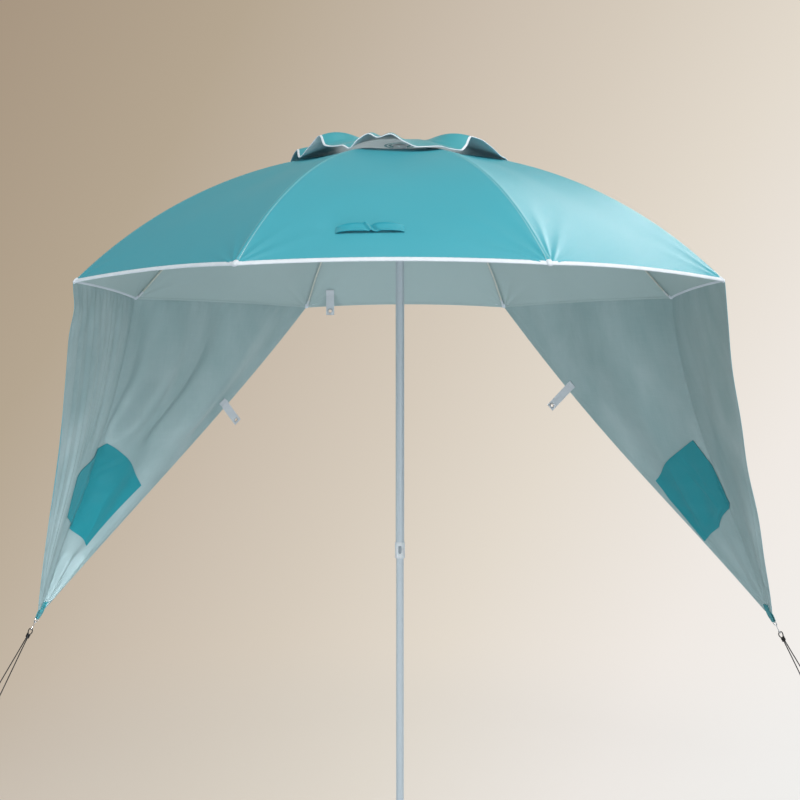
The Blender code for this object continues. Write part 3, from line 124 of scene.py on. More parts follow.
def makePiece(name, points, quads, uv, slots, materials, sharp=50.0, caps=()):
    # uv is the place on the cloth in metres, of each point or of each face corner; slots picks the materials
    mesh = bpy.data.meshes.new(name)
    faceSizes = np.concatenate([np.full(len(quads), 4), [len(c) for c in caps]]).astype(int)
    corners = np.concatenate([quads.ravel(), *[np.asarray(c) for c in caps]]).astype(int)
    mesh.vertices.add(len(points))
    mesh.loops.add(len(corners))
    mesh.polygons.add(len(faceSizes))
    starts = np.concatenate([[0], np.cumsum(faceSizes)[:-1]])
    uv = np.asarray(uv if len(uv) == len(corners) else uv[corners], np.float32)
    mesh.vertices.foreach_set("co", np.asarray(points, np.float32).ravel())
    mesh.loops.foreach_set("vertex_index", corners.astype(np.int32))
    for key, values in (("loop_start", starts), ("loop_total", faceSizes), ("material_index", slots)):
        mesh.polygons.foreach_set(key, np.asarray(values, np.int32))
    mesh.uv_layers.new(name="cloth").data.foreach_set("uv", uv.ravel())
    mesh.update(calc_edges=True)
    mesh.validate()
    mesh.shade_smooth()
    mesh.set_sharp_from_angle(angle=radians(sharp))
    for material in materials:
        mesh.materials.append(material)
    piece = bpy.data.objects.new(name, mesh)
    bpy.context.scene.collection.objects.link(piece)
    return piece


def insideOut(points, faces):           # true where the faces shut in a volume below zero
    whole = 0.0
    for face in faces:
        corners = np.moveaxis(points[np.asarray(face).astype(int)], -2, 0)
        whole += (corners[[0] * (len(corners) - 2)] * np.cross(corners[1:-1], corners[2:])).sum()
    return whole < 0


def closedSheet(name, top, under, uv, materials, sharp=50.0):
    # cloth between two grids: outer face, inner face and a wall round the four edges
    rows, columns = top.shape[:2]
    count = rows * columns
    face = gridFaces(rows, columns)
    rim = np.concatenate([np.arange(columns), np.arange(1, rows) * columns + columns - 1,
                          (rows - 1) * columns + np.arange(columns - 2, -1, -1),
                          np.arange(rows - 2, 0, -1) * columns])
    after = np.roll(rim, -1)
    wall = np.stack([rim, after, after + count, rim + count], axis=-1)
    quads = np.concatenate([face[:, ::-1], face + count, wall])
    points = np.concatenate([top.reshape(-1, 3), under.reshape(-1, 3)])
    if insideOut(points, [quads]):
        quads = quads[:, ::-1]
    slots = np.zeros(len(quads))
    slots[len(face):2 * len(face)] = len(materials) - 1
    flat = uv.reshape(-1, 2)
    return makePiece(name, points, quads, np.concatenate([flat, flat]), slots, materials, sharp)


def closedTube(name, rings, uv, materials, endless=False, slots=None):
    # a skin through rings of points (rings, points round, 3), its ends closed flat unless it is endless
    count, around = rings.shape[:2]
    quads = gridFaces(count, around, wrap=True)
    j = np.arange(around)
    last = (count - 1) * around
    caps = [j[::-1], last + j]
    if endless:
        quads = np.concatenate([quads, np.stack([last + j, last + (j + 1) % around, (j + 1) % around, j], -1)])
        caps = []
    flat = uv.reshape(-1, 2)
    spots = flat[quads]
    over = np.arange(len(quads)) % around == around - 1     # the last strip round ends a whole turn on
    spots[over, 1:3, 0] = flat[last + around - 1, 0] * around / (around - 1)
    if insideOut(rings.reshape(-1, 3), [quads, *caps]):     # faces point outwards whichever way the rings run
        quads, spots, caps = quads[:, ::-1], spots[:, ::-1], [c[::-1] for c in caps]
    spots = np.concatenate([spots.reshape(-1, 2), *[flat[c] for c in caps]])
    slots = np.zeros(len(quads) + len(caps)) if slots is None else slots
    return makePiece(name, rings.reshape(-1, 3), quads, spots, slots, materials, 60, caps)


def pathLength(path):                   # running length along a path
    return np.concatenate([[0], np.cumsum(np.linalg.norm(np.diff(path, axis=0), axis=1))])


def roundTube(name, path, radius, material, sides=12, endless=False):
    # a round section carried along a path without twist; UV is round the tube and along it, in metres
    if endless:
        along = unit(np.roll(path, -1, axis=0) - np.roll(path, 1, axis=0))
    else:
        along = unit(np.gradient(path, axis=0))
    side = np.zeros_like(path)
    start = np.eye(3)[np.argmin(np.abs(along[0]))]
    side[0] = unit(start - along[0] * (start @ along[0]))
    for i in range(1, len(path)):       # the side carried on from point to point
        side[i] = unit(side[i - 1] - along[i] * (side[i - 1] @ along[i]))
    if endless:                         # what twist is left is spread over the whole loop
        left = np.arctan2(np.cross(side[-1], side[0]) @ along[0], side[-1] @ side[0])
        turn = np.linspace(0, left, len(path))[:, None]
        side = side * np.cos(turn) + np.cross(along, side) * np.sin(turn)
    angle = np.linspace(0, 2 * pi, sides, endpoint=False)
    ring = side[:, None] * np.cos(angle)[:, None] + np.cross(along, side)[:, None] * np.sin(angle)[:, None]
    uv = pairs(angle[None] * radius, pathLength(path)[:, None])
    return closedTube(name, path[:, None] + radius * ring, uv, [material], endless)


def declareCloth(middle):
    # the longest column of the cloth's middle surface, worked out and kept nowhere
    tall = float(max(pathLength(column)[-1] for column in middle.swapaxes(0, 1)))


def finish(piece, body, slot, replaces=True):   # attached to the body it rides on, and the node named slot hidden when the piece replaces it
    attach(piece, body)
    if replaces:
        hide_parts(slot)


# camera, as the photograph was taken; the view is level, and the horizon is set by the shift alone
photo = dict(azimuth=1.2, distance=4.2, height=1.47, lens=57.33, sensor=36.0, side=800, horizon=377.7,
             nearest=0.05, farthest=60)


def makeCamera():                       # so far from the pole, turned by the azimuth, and facing it
    turn = radians(photo["azimuth"])
    data = bpy.data.cameras.new("photo_camera")
    data.lens, data.sensor_width = photo["lens"], photo["sensor"]
    data.shift_y = (photo["horizon"] - photo["side"] / 2) / photo["side"]
    data.clip_start, data.clip_end = photo["nearest"], photo["farthest"]
    camera = bpy.data.objects.new("photo_camera", data)
    camera.location = (photo["distance"] * sin(turn), -photo["distance"] * cos(turn), photo["height"])
    camera.rotation_euler = (pi / 2, 0, turn)
    bpy.context.scene.collection.objects.link(camera)
    bpy.context.scene.camera = camera


# studio: backdrop colours from its dark corner to its pale one, floor and lamps
studio = dict(
    backdrop=[(0.0, "#a79682"), (0.18, "#b5a691"), (0.36, "#c9bcac"), (0.50, "#d6cbbc"),
              (0.64, "#e3dacd"), (0.82, "#f0eae4"), (1.0, "#f4f3f1")],
    across=0.32 / 0.30, down=-0.18 / 0.29,  # how fast it pales: share of the ramp over the view's half width
    ambient="#ecf3f4", ambientStrength=0.385,
    floorRadius=3.4, floorEdge=(2.8, 3.3), floorFade=(1.2, 3.2), floorShown=0.12, floor="#d6dadd",
    floorSides=96,
    lamps=[                             # name, place, aim, size, watts, colour, spread in degrees
        ("softbox_top", (1.6, -2.6, 4.6), (0.1, -0.1, 1.7), 2.6, 132, "#fff9f2", 180),
        ("softbox_back_right", (3.5, 5.0, 4.0), (0.7, -0.5, 1.9), 3.2, 225, "#ffffff", 180),
        ("low_left", (-2.5, -2.7, 0.45), (-0.95, 0, 0.85), 0.7, 8, "#f6faff", 90),
        ("low_point", (-0.55, -2.7, 0.75), (-1.35, -0.75, 0.45), 0.45, 9, "#f6faff", 50),
        ("softbox_left", (-3.6, -2.6, 3.6), (-0.6, 0, 2.0), 1.8, 34, "#e6fbff", 180),
        ("front_fill", (2.0, -4.2, 0.7), (-0.3, 0, 1.0), 1.6, 48, "#f4f9ff", 180),
    ],
)


def makeBackdrop():
    # a sloping ramp for camera, glossy and clear rays, and even light for the rest
    world = bpy.data.worlds.new("studio")
    bpy.context.scene.world = world
    world.use_nodes = True
    tree = world.node_tree
    tree.nodes.clear()
    way = addNode(tree, "TexCoord")
    split = addNode(tree, "SeparateXYZ", {0: way.outputs["Generated"]})
    across = addNode(tree, "Math", {0: split.outputs["X"], 1: studio["across"]}, operation="MULTIPLY")
    down = addNode(tree, "Math", {0: split.outputs["Z"], 1: studio["down"], 2: 0.5}, operation="MULTIPLY_ADD")
    place = addNode(tree, "Math", {0: across, 1: down}, operation="ADD")
    ramp = addNode(tree, "ValToRGB", {0: place})
    stops = ramp.color_ramp.elements
    while len(stops) < len(studio["backdrop"]):
        stops.new(0.5)
    for stop, (where, code) in zip(stops, studio["backdrop"]):
        stop.position = where
        stop.color = linearColour(code)
    seen = addNode(tree, "Background", {"Color": ramp, "Strength": 1.0})
    light = addNode(tree, "Background", {"Color": linearColour(studio["ambient"]),
                                         "Strength": studio["ambientStrength"]})
    ray = addNode(tree, "LightPath")
    sees = addNode(tree, "Math", {0: ray.outputs["Is Camera Ray"], 1: ray.outputs["Is Transmission Ray"]},
                   operation="MAXIMUM")
    sees = addNode(tree, "Math", {0: sees, 1: ray.outputs["Is Glossy Ray"]}, operation="MAXIMUM")
    mix = addNode(tree, "MixShader", {0: sees, 1: light, 2: seen})
    addNode(tree, "OutputWorld", {"Surface": mix})


def makeFloor():
    # a round of pale paper that fades away, so that no edge or horizon shows
    material, tree, shader = newFinish("paper_floor_matt", Roughness=0.9, Specular_IOR_Level=0.1,
                                       Base_Color=linearColour(studio["floor"]))
    place = addNode(tree, "TexCoord")
    far = addNode(tree, "VectorMath", {0: place.outputs["Object"]}, operation="LENGTH")
    low, high = studio["floorEdge"]
    fade = addNode(tree, "MapRange", {"From Min": low, "From Max": high, "Value": far},
                   interpolation_type="SMOOTHSTEP")
    clear = addNode(tree, "BsdfTransparent")
    # the camera sees the backdrop through it, with the shadow laid over; every other ray meets solid paper
    low, high = studio["floorFade"]
    seen = addNode(tree, "MapRange", {"From Min": low, "From Max": high, "To Min": 1 - studio["floorShown"],
                                      "To Max": 1.0, "Value": far}, interpolation_type="SMOOTHSTEP")
    ray = addNode(tree, "LightPath")
    share = addNode(tree, "Mix", {0: ray.outputs["Is Camera Ray"], 2: fade, 3: seen})
    mix = addNode(tree, "MixShader", {0: share, 1: shader, 2: clear})
    tree.links.new(mix.outputs[0], tree.nodes["Material Output"].inputs["Surface"])
    angle = np.linspace(0, 2 * pi, studio["floorSides"], endpoint=False)
    rim = np.stack([np.cos(angle), np.sin(angle), 0 * angle], axis=-1) * studio["floorRadius"]
    mesh = bpy.data.meshes.new("floor")
    mesh.from_pydata(rim.tolist(), [], [list(range(len(rim)))])
    mesh.materials.append(material)
    floor = bpy.data.objects.new("floor", mesh)
    bpy.context.scene.collection.objects.link(floor)


def makeLamps():                        # discs that face their aim
    for name, spot, aim, size, watts, code, spread in studio["lamps"]:
        data = bpy.data.lights.new(name, "AREA")
        data.shape, data.size, data.energy = "DISK", size, watts
        data.color = linearColour(code)[:3]
        data.spread = radians(spread)
        lamp = bpy.data.objects.new(name, data)
        back = unit(np.subtract(spot, aim))
        side = unit(np.cross((0, 0, 1.0), back))
        turned = np.eye(4)
        turned[:3] = np.stack([side, np.cross(back, side), back, spot], axis=1)
        lamp.matrix_world = Matrix(turned.tolist())
        bpy.context.scene.collection.objects.link(lamp)


bpy.context.scene.view_settings.view_transform = "Standard"
makeCamera()
makeBackdrop()
makeFloor()
makeLamps()
print("camera and studio ready")

# real threads lie about 0.25 mm apart, finer than a render can show, so the weave is drawn at 2.4 mm
weave = dict(thread=0.0024, slubScale=200, mottleScale=1 / 0.16, threadTone=0.02,
             seamWidth=0.0016, stitchLength=0.006, stitchShare=-0.35, seamCreaseShade=0.35)


def waveAlong(tree, place, length):     # a sine of the place, in metres, that repeats every length
    turned = addNode(tree, "Math", {0: place, 1: 2 * pi / length}, operation="MULTIPLY")
    return addNode(tree, "Math", {0: turned}, operation="SINE")


def dress(tree, shader, mix, raised):   # a pattern's colour and relief go to the shader
    tree.links.new(mix.outputs[2], shader.inputs["Base Color"])
    tree.links.new(raised.outputs[0], shader.inputs["Normal"])


def clothPattern(tree, shader, colour, shade, slubs=0.05, mottle=0.10, drawn=1.0):
    # the cloth's UV is in metres: crossed waves for the threads, drawn-out noise for slubs,
    # and wide noise for handling marks; on the wing it is painted shade and light of folds
    place = addNode(tree, "UVMap", uv_map="cloth")
    split = addNode(tree, "SeparateXYZ", {0: place})
    threads = [waveAlong(tree, split.outputs[axis], weave["thread"]) for axis in (0, 1)]
    crossed = addNode(tree, "Math", {0: threads[0], 1: threads[1]}, operation="MULTIPLY")
    fine = []
    for stretch in ((1.0, 0.05, 1.0), (0.05, 1.0, 1.0)):    # slubs run along the threads, both ways
        along = addNode(tree, "Mapping", {"Scale": stretch, "Vector": place})
        fine.append(addNode(tree, "TexNoise", {"Scale": weave["slubScale"], "Detail": 2.0, "Roughness": 0.6,
                                               "Vector": along}))
    slub = addNode(tree, "Math", {0: fine[0], 1: fine[1]}, operation="ADD")
    fall = addNode(tree, "Mapping", {"Scale": (1.0, drawn, 1.0), "Vector": place})
    wide = addNode(tree, "TexNoise", {"Scale": weave["mottleScale"], "Detail": 4.0, "Roughness": 0.55,
                                      "Distortion": 0.3, "Vector": fall})
    tone = addNode(tree, "Math", {0: slub, 1: slubs, 2: 0.5 - slubs}, operation="MULTIPLY_ADD")
    # wide noise: handling marks, and on the wing painted shade and light of folds
    wearAndShade = addNode(tree, "Math", {0: wide, 1: mottle * 2, 2: tone}, operation="MULTIPLY_ADD")
    woven = addNode(tree, "Math", {0: crossed, 1: weave["threadTone"], 2: wearAndShade}, operation="MULTIPLY_ADD")
    low = addNode(tree, "Math", {0: woven, 1: mottle}, operation="SUBTRACT")
    mix = addNode(tree, "Mix", {0: low, 6: linearColour(shade), 7: linearColour(colour)}, data_type="RGBA")
    height = addNode(tree, "Math", {0: slub, 1: 0.5, 2: crossed}, operation="MULTIPLY_ADD")
    dress(tree, shader, mix, addNode(tree, "Bump", {"Strength": 0.5, "Distance": 0.00025, "Height": height}))
    return split, mix


def seamLine(tree, shader, split, mix, where, stitch, dark):
    # a stitched seam each side of the panel's middle line: short pale dashes in a narrow crease darkened with
    # painted shade
    wide = weave["seamWidth"]
    away = addNode(tree, "Math", {0: split.outputs[0]}, operation="ABSOLUTE")
    off = addNode(tree, "Math", {0: away, 1: where}, operation="SUBTRACT")
    near = addNode(tree, "Math", {0: off, 1: 0.0, 2: wide / 2}, operation="COMPARE")
    crease = addNode(tree, "Math", {0: off, 1: 0.0, 2: wide * 1.4}, operation="COMPARE")
    wave = waveAlong(tree, split.outputs[1], weave["stitchLength"])
    dash = addNode(tree, "Math", {0: wave, 1: weave["stitchShare"]}, operation="GREATER_THAN")
    thread = addNode(tree, "Math", {0: near, 1: dash}, operation="MULTIPLY")
    # painted shade: the band about the seam is darkened as its crease would be in shadow
    shaded = addNode(tree, "Math", {0: crease, 1: weave["seamCreaseShade"]}, operation="MULTIPLY")
    dim = addNode(tree, "Mix", {0: shaded, 6: mix, 7: linearColour(dark)}, data_type="RGBA")
    sewn = addNode(tree, "Mix", {0: thread, 6: dim, 7: linearColour(stitch)}, data_type="RGBA")
    tree.links.new(sewn.outputs[2], shader.inputs["Base Color"])


# name, thread colours, the pattern's own values, the shader's values, and the seam: place, stitch, and the
# crease's painted shade
clothTable = dict(
    # dyed polyester, woven and calendered: smooth, with a satin sheen where it is seen at a low angle
    teal=("polyester_teal_calendered", "#3fa6b8", "#3896a8", {},
          dict(Roughness=0.44, Sheen_Weight=0.04, Sheen_Roughness=0.4, Specular_IOR_Level=0.42,
               Sheen_Tint=linearColour("#d9f4f7")), (0.0055, "#bfe3e8", "#2c7f8b")),
    # the same cloth's coated back: silver-grey paint, a little streaked from the knife that spreads it
    silver=("polyester_silver_coated", "#b6c9c9", "#a6bcbd", dict(slubs=0.08, mottle=0.12),
            dict(Roughness=0.55, Metallic=0.12, Specular_IOR_Level=0.45), (0.0085, "#c9d3d4", "#6d8488")),
    # the wings' coated face: strong wide mottle drawn out down the fall, painted shade and light in patches like
    # those of its folds
    wing=("polyester_silver_wing", "#bdcdcf", "#7b9ea0", dict(slubs=0.14, mottle=0.46, drawn=0.40),
          dict(Roughness=0.5, Metallic=0.12, Specular_IOR_Level=0.5), None),
    # the cap's back: the coated cloth painted brighter, painted light that lifts the shade it lies in under the
    # cap
    capUnderLightened=("polyester_silver_cap_lightened", "#e2e9ea", "#cdd8db", {},
              dict(Roughness=0.5, Metallic=0.1, Specular_IOR_Level=0.5), None),
)
# patches, cap, pockets, strap and the wings' outer face: the dyed cloth
# again, uncalendered and so a little duller
for key, light, shade, sheen in (
        ("patch", "#1f9099", "#197f8a", 0.25), ("cap", "#3b9fac", "#2f8c99", 0.25),
        ("outside", "#3fa6b8", "#3494a6", 0.25), ("pocket", "#0095a1", "#008390", 0.05),
        ("strap", "#1aa2b6", "#0f8698", 0.25)):
    clothTable[key] = ("polyester_teal_" + key, light, shade, {},
                       dict(Roughness=0.5, Sheen_Weight=sheen, Sheen_Roughness=0.45), None)


def makeTape(name, light, shade, rib):
    # narrow woven polyester tape: ribs across it, crossed with finer ones along it, and a little soil
    material, tree, shader = newFinish(name, Roughness=0.62, Sheen_Weight=0.2, Sheen_Roughness=0.5)
    place = addNode(tree, "UVMap", uv_map="cloth")
    split = addNode(tree, "SeparateXYZ", {0: place})
    waves = [waveAlong(tree, split.outputs[axis], spacing) for axis, spacing in ((1, rib), (0, rib * 0.8))]
    twill = addNode(tree, "Math", {0: waves[0], 1: waves[1]}, operation="MULTIPLY")
    soil = addNode(tree, "TexNoise", {"Scale": 26.0, "Detail": 4.0, "Vector": place})
    tone = addNode(tree, "Math", {0: twill, 1: 0.18, 2: soil}, operation="MULTIPLY_ADD")
    mix = addNode(tree, "Mix", {0: tone, 6: linearColour(shade), 7: linearColour(light)}, data_type="RGBA")
    dress(tree, shader, mix, addNode(tree, "Bump", {"Strength": 0.6, "Distance": 0.0004, "Height": twill}))
    return material


cloths = {}
for key, (name, light, shade, pattern, values, seam) in clothTable.items():
    cloths[key], tree, shader = newFinish(name, **values)
    split, mix = clothPattern(tree, shader, light, shade, **pattern)
    if seam:
        seamLine(tree, shader, split, mix, *seam)
for key, light, shade, rib in (("binding", "#e4ebf3", "#cfd8e2", 0.0030),   # nearly white
                               ("greyWebbing", "#dfe3e8", "#c6ccd3", 0.0028),
                               ("tealWebbing", "#24939c", "#197f88", 0.0028)):
    cloths[key] = makeTape("woven_tape_" + key, light, shade, rib)

# colours, noise scale in 1/m and its stretch, relief in metres, the range of roughness, and the shader's values
hardTable = dict(
    # powder-coated steel tube: pale grey, satin, with a faint orange peel 3 mm across
    tube=("steel_tube_powder_coated", "#c4cdd4", "#aeb9c1", 330.0, (1, 1, 0.25), 0.00006, (0.32, 0.46),
          dict(Roughness=0.38, Coat_Weight=0.15, Coat_Roughness=0.2)),
    # moulded ABS: bone white, soft gloss, with flow marks a few millimetres long
    abs=("abs_white_moulded", "#dfe3e7", "#cdd2d7", 180.0, (1, 1, 0.5), 0.00003, (0.34, 0.5),
         dict(Roughness=0.4, Subsurface_Weight=0.06, Subsurface_Scale=0.004)),
    # the same plastic dyed grey, for the button
    button=("abs_grey_moulded", "#98a1a8", "#858e95", 180.0, (1, 1, 0.5), 0.00003, (0.38, 0.52),
            dict(Roughness=0.45)),
    # pultruded glass-fibre rod: cream, with a slow drift of tone from the resin
    rod=("fibreglass_rod_pultruded", "#dedfd6", "#c3c5ba", 900.0, (0.06, 0.06, 0.06), 0.00003, (0.34, 0.52),
         dict(Roughness=0.42, Coat_Weight=0.2, Coat_Roughness=0.3)),
    # zinc-plated steel, rolled and tumbled: bright, with cloudy patches of duller plate
    zinc=("steel_zinc_plated", "#cfd2d6", "#a9adb3", 240.0, (1, 1, 1), 0.00002, (0.22, 0.42),
          dict(Metallic=1.0, Roughness=0.3)),
    # galvanised peg wire: coarser crystals of zinc, dulled by sand
    galvanised=("steel_wire_galvanised", "#b4b8bc", "#83888d", 150.0, (1, 1, 1), 0.00006, (0.34, 0.6),
                dict(Metallic=1.0, Roughness=0.42)),
    # moulded black nylon: fine spark texture from the mould
    nylon=("nylon_black_moulded", "#2b2e31", "#191b1d", 420.0, (1, 1, 1), 0.00008, (0.42, 0.6),
           dict(Roughness=0.5)),
)


def makeHard(name, light, shade, scale, stretch, relief, gloss, values):
    # noise on object coordinates for tone, relief and gloss
    material, tree, shader = newFinish(name, **values)
    place = addNode(tree, "TexCoord")
    along = addNode(tree, "Mapping", {"Scale": stretch, "Vector": place.outputs["Object"]})
    noise = addNode(tree, "TexNoise", {"Scale": scale, "Detail": 4.0, "Roughness": 0.6, "Vector": along})
    mix = addNode(tree, "Mix", {0: noise, 6: linearColour(shade), 7: linearColour(light)}, data_type="RGBA")
    dress(tree, shader, mix, addNode(tree, "Bump", {"Strength": 0.4, "Distance": relief, "Height": noise}))
    rough = addNode(tree, "MapRange", {"To Min": gloss[0], "To Max": gloss[1], "Value": noise})
    tree.links.new(rough.outputs["Result"], shader.inputs["Roughness"])
    return material


# plaited polypropylene cord: two sets of strands that cross, worked out from its UV (round it, along it)
plait = dict(strands=8, radius=0.002, turn=0.026, light="#15171a", dark="#050506")


def makeCordFinish():                   # two slanted sines, and the larger of them lies on top
    material, tree, shader = newFinish("polypropylene_cord_plaited", Roughness=0.7)
    place = addNode(tree, "UVMap", uv_map="cloth")
    split = addNode(tree, "SeparateXYZ", {0: place})
    sets = []
    for hand in (1, -1):                # strands each way round the cord
        around = addNode(tree, "Math", {0: split.outputs[0], 1: plait["strands"] / plait["radius"]},
                         operation="MULTIPLY")
        slant = addNode(tree, "Math", {0: split.outputs[1], 1: hand * plait["strands"] * 2 * pi / plait["turn"],
                                       2: around}, operation="MULTIPLY_ADD")
        sets.append(addNode(tree, "Math", {0: slant}, operation="SINE"))
    top = addNode(tree, "Math", {0: sets[0], 1: sets[1]}, operation="MAXIMUM")
    # painted shade: the cord is darkest in the grooves between strands and lightest on their crowns
    tone = addNode(tree, "MapRange", {"From Min": -1.0, "Value": top})
    mix = addNode(tree, "Mix", {0: tone, 6: linearColour(plait["dark"]), 7: linearColour(plait["light"])},
                  data_type="RGBA")
    dress(tree, shader, mix, addNode(tree, "Bump", {"Strength": 0.8, "Distance": 0.0004, "Height": top}))
    return material


hard = {key: makeHard(*row) for key, row in hardTable.items()}
hard["cord"] = makeCordFinish()
print("finishes made:", len(cloths) + len(hard))


# canopy: eight panels, each centred on a rib
canopy = dict(
    columns=97, rows=121, keep=0.13,
    ripple=0.0014,                      # slow swell between the ribs
    gather=[0.0032, 0.0048, 0.00512, 0.00448, 0.00288, 0.00416, 0.0048, 0.0032],    # creases at each rib's tip
    gatherReach=[0.11, 0.15, 0.15, 0.12, 0.09, 0.10, 0.17, 0.11],
    gatherCount=[11, 12, 13, 10, 9, 12, 13, 10],
    # dents where the closure strap is tacked on: place, reach and depth
    dents=[((-0.166, -0.86, 1.868), 0.034, 0.0032), ((0.044, -0.87, 1.866), 0.022, 0.0016)],
)
hemRows = np.array([[0.992], [1.0]])    # the hem, and a line just above it that gives the cloth's slope
besideRib = 1e-6                        # a step off the rib, to stay in one gore


def ribAngle(k):                        # a rib's plan angle: half a gore on from k whole ones
    return goreAngle * (k + 0.5)


def foldUp(piece, k, node, replaces=True):
    # a piece on rib k rides on that rib's arm, with its own copy of its mesh
    finish(piece, f"rib_arm_{k + 1}", node, replaces)
    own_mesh(piece)


def domeArc(t):                         # how far out from the pole the dome is at t
    return domeRadius * np.sin(ventAngle + (rimAngle - ventAngle) * t)


def canopyPoint(t, g):
    # t is 0 at the vent and 1 at the hem, g counts gores from rib 0: the dome's arc, taken straight from
    # rib to rib, with the hem drawn up between ribs and the gore pulled in along the arc's normal
    t, g = np.broadcast_arrays(np.asarray(t, float), np.asarray(g, float))
    gore = np.floor(g)
    w = g - gore
    bump = 4 * w * (1 - w)
    last = rimAngle - np.array(shelter["scallop"])[gore.astype(int) % 8] / domeRadius * bump
    beta = ventAngle + (last - ventAngle) * t
    a = ribAngle(gore)
    middle = a + goreAngle / 2
    pull = shelter["gorePull"] * bump * (0.35 + 0.65 * np.sin(pi * np.clip(t, 0, 1)))
    r = domeRadius * np.sin(beta)
    x = r * ((1 - w) * np.cos(a) + w * np.cos(a + goreAngle)) - pull * np.sin(beta) * np.cos(middle)
    y = r * ((1 - w) * np.sin(a) + w * np.sin(a + goreAngle)) - pull * np.sin(beta) * np.sin(middle)
    return np.stack([x, y, domeCentre + (domeRadius - pull) * np.cos(beta)], axis=-1)


def canopyRelief(t, g):
    # height over the plain dome: creases fanned out from each rib's tip, a slow swell, and the strap's dents
    w = g - np.floor(g)
    up = (1 - t) * goreLength + 0.004
    height = np.zeros_like(t)
    for k in range(shelter["ribs"]):
        across = ((g - k + 4) % 8 - 4) * goreAngle * domeArc(t)
        far = np.hypot(across, up)
        fan = np.arctan2(across, up)
        wave = 0.5 + 0.5 * np.sin(canopy["gatherCount"][k] * fan + 1.7 * k + 0.6 * np.sin(3 * fan + k))
        fade = np.exp(-far / canopy["gatherReach"][k]) * smoothStep(0.004, 0.035, far)
        height += canopy["gather"][k] * wave ** 1.6 * fade * smoothStep(1.50, 1.15, np.abs(fan))
    edge = np.sin(pi * w) * np.sin(pi * np.clip(t, 0, 1)) ** 0.6
    swell = (np.sin(2 * pi * (2.3 * t + 0.8 * w) + 2.0 * np.floor(g))
             + 0.6 * np.sin(2 * pi * (1.1 * t - 1.7 * w) + 1.1))
    height += canopy["ripple"] * edge * swell
    here = canopyPoint(t, g)
    for place, reach, depth in canopy["dents"]:
        height -= depth * np.exp(-((here - place) ** 2).sum(axis=-1) / reach ** 2)
    return height


def canopySurface(t, g):
    # the finished outer face: the dome raised by its relief, which stops at the hem
    t, g = np.broadcast_arrays(t, g)
    base = canopyPoint(t, g)
    return base + gridNormals(base) * (canopyRelief(t, g) * smoothStep(1.0, 0.985, t))[..., None]


def overRib(surface, t, g, k):
    # two flat gores meet on rib k, so each half of the grid is worked out by itself
    t, g = np.broadcast_arrays(t, g)
    half = g.shape[1] // 2
    left = surface(t[:, :half + 1], np.minimum(g[:, :half + 1], k - besideRib))
    right = surface(t[:, half:], np.maximum(g[:, half:], k + besideRib))
    return np.concatenate([left[:, :-1], (left[:, -1:] + right[:, :1]) / 2, right[:, 1:]], axis=1)


def makeCanopy():
    # each panel lies between the finished face and the same face moved in by the cloth's thickness
    t = 1 - (1 - np.linspace(0, 1, canopy["rows"])[:, None]) ** 1.4     # rows close up towards the hem
    c = np.linspace(-1, 1, canopy["columns"])[None, :]
    away = 0.5 * np.sign(c) * np.abs(c) ** 1.35                         # and columns towards the rib
    uv = pairs(away * 2 * domeArc(t) * sin(goreAngle / 2), t * goreLength)
    for k in range(shelter["ribs"]):
        top = overRib(canopySurface, t, k + away, k)
        inward = gridNormals(top) * -shelter["cloth"]
        panel = closedSheet(f"canopy_panel_{k + 1}", top, top + inward, uv, [cloths["teal"], cloths["silver"]])
        foldUp(panel, k, "canopy")
        declareCloth(top + inward / 2)


# binding: white tape folded over the hem; its inner leaf is hidden under the cloth up to rib hiddenTo
binding = dict(
    width=0.0115, innerWidth=0.0070, gap=0.0004, tape=0.0009, round=0.0006, bevel=0.0003, steps=97,
    pucker=0.0003, puckerLength=0.019, hiddenTo=3, innerLeaf=(2, 9),
)


def hemFrame(k):                        # the hem's points, the way out along the cloth and the cloth's normal
    c = np.linspace(-1, 1, binding["steps"])
    g = k + 0.5 * np.sign(c) * np.abs(c) ** 1.2
    above, hem = overRib(canopyPoint, hemRows, g[None], k)
    out = unit(hem - above)
    return hem, out, unit(np.cross(out, np.gradient(hem, axis=0))), g


def makeBinding():
    # a folded section carried along the hem, its faces puckered by a sine that wanders
    wide, short, gap, tape, soft, bevel = (
        binding[key] for key in ("width", "innerWidth", "gap", "tape", "round", "bevel"))
    middle = -shelter["cloth"] / 2
    inner = gap - middle                # half of the folded tape's thickness, inside and outside
    reach = inner + tape
    turn = np.radians(np.linspace(78, -78, 7))
    section = np.array([(-wide + soft, middle + reach),
                        *[(reach * np.cos(a) * 0.95, middle + reach * np.sin(a)) for a in turn],
                        (-short + soft, middle - reach), (-short, middle - reach + bevel),
                        (-short, middle - inner), (0.0002, middle - inner), (0.0002, middle + inner),
                        (-wide, middle + inner), (-wide, middle + reach - bevel)])
    face = np.sign(section[:, 1] - middle) * (np.abs(section[:, 1] - middle) > inner * 1.05)
    first, last = binding["innerLeaf"]
    leaf = np.arange(len(section))
    for k in range(shelter["ribs"]):
        edge, out, normal, g = hemFrame(k)
        run = pathLength(edge)
        pull = binding["pucker"] * np.sin(2 * pi * run / binding["puckerLength"] + 2.4 * np.sin(17 * run + k))
        rings = edge[:, None] + out[:, None] * section[:, :1] + normal[:, None] * section[:, 1:]
        rings += normal[:, None] * (face * pull[:, None])[..., None]
        # between the wings' outer ribs the inner leaf lies under the coated cloth, and shows its colour
        hidden = (g[:-1] % shelter["ribs"] < binding["hiddenTo"])[:, None] & (first <= leaf) & (leaf <= last)
        piece = closedTube(f"hem_tape_{k + 1}", rings, pairs(pathLength(section), run[:, None]),
                           [cloths["binding"], cloths["silver"]], slots=np.append(hidden.ravel(), (0, 0)))
        foldUp(piece, k, "hem_binding")


# tip pockets: white tape sewn over each rib's end
tipPocket = dict(length=0.022, width=0.0085, depth=0.0052, past=0.0035, under=0.0015, steps=25)


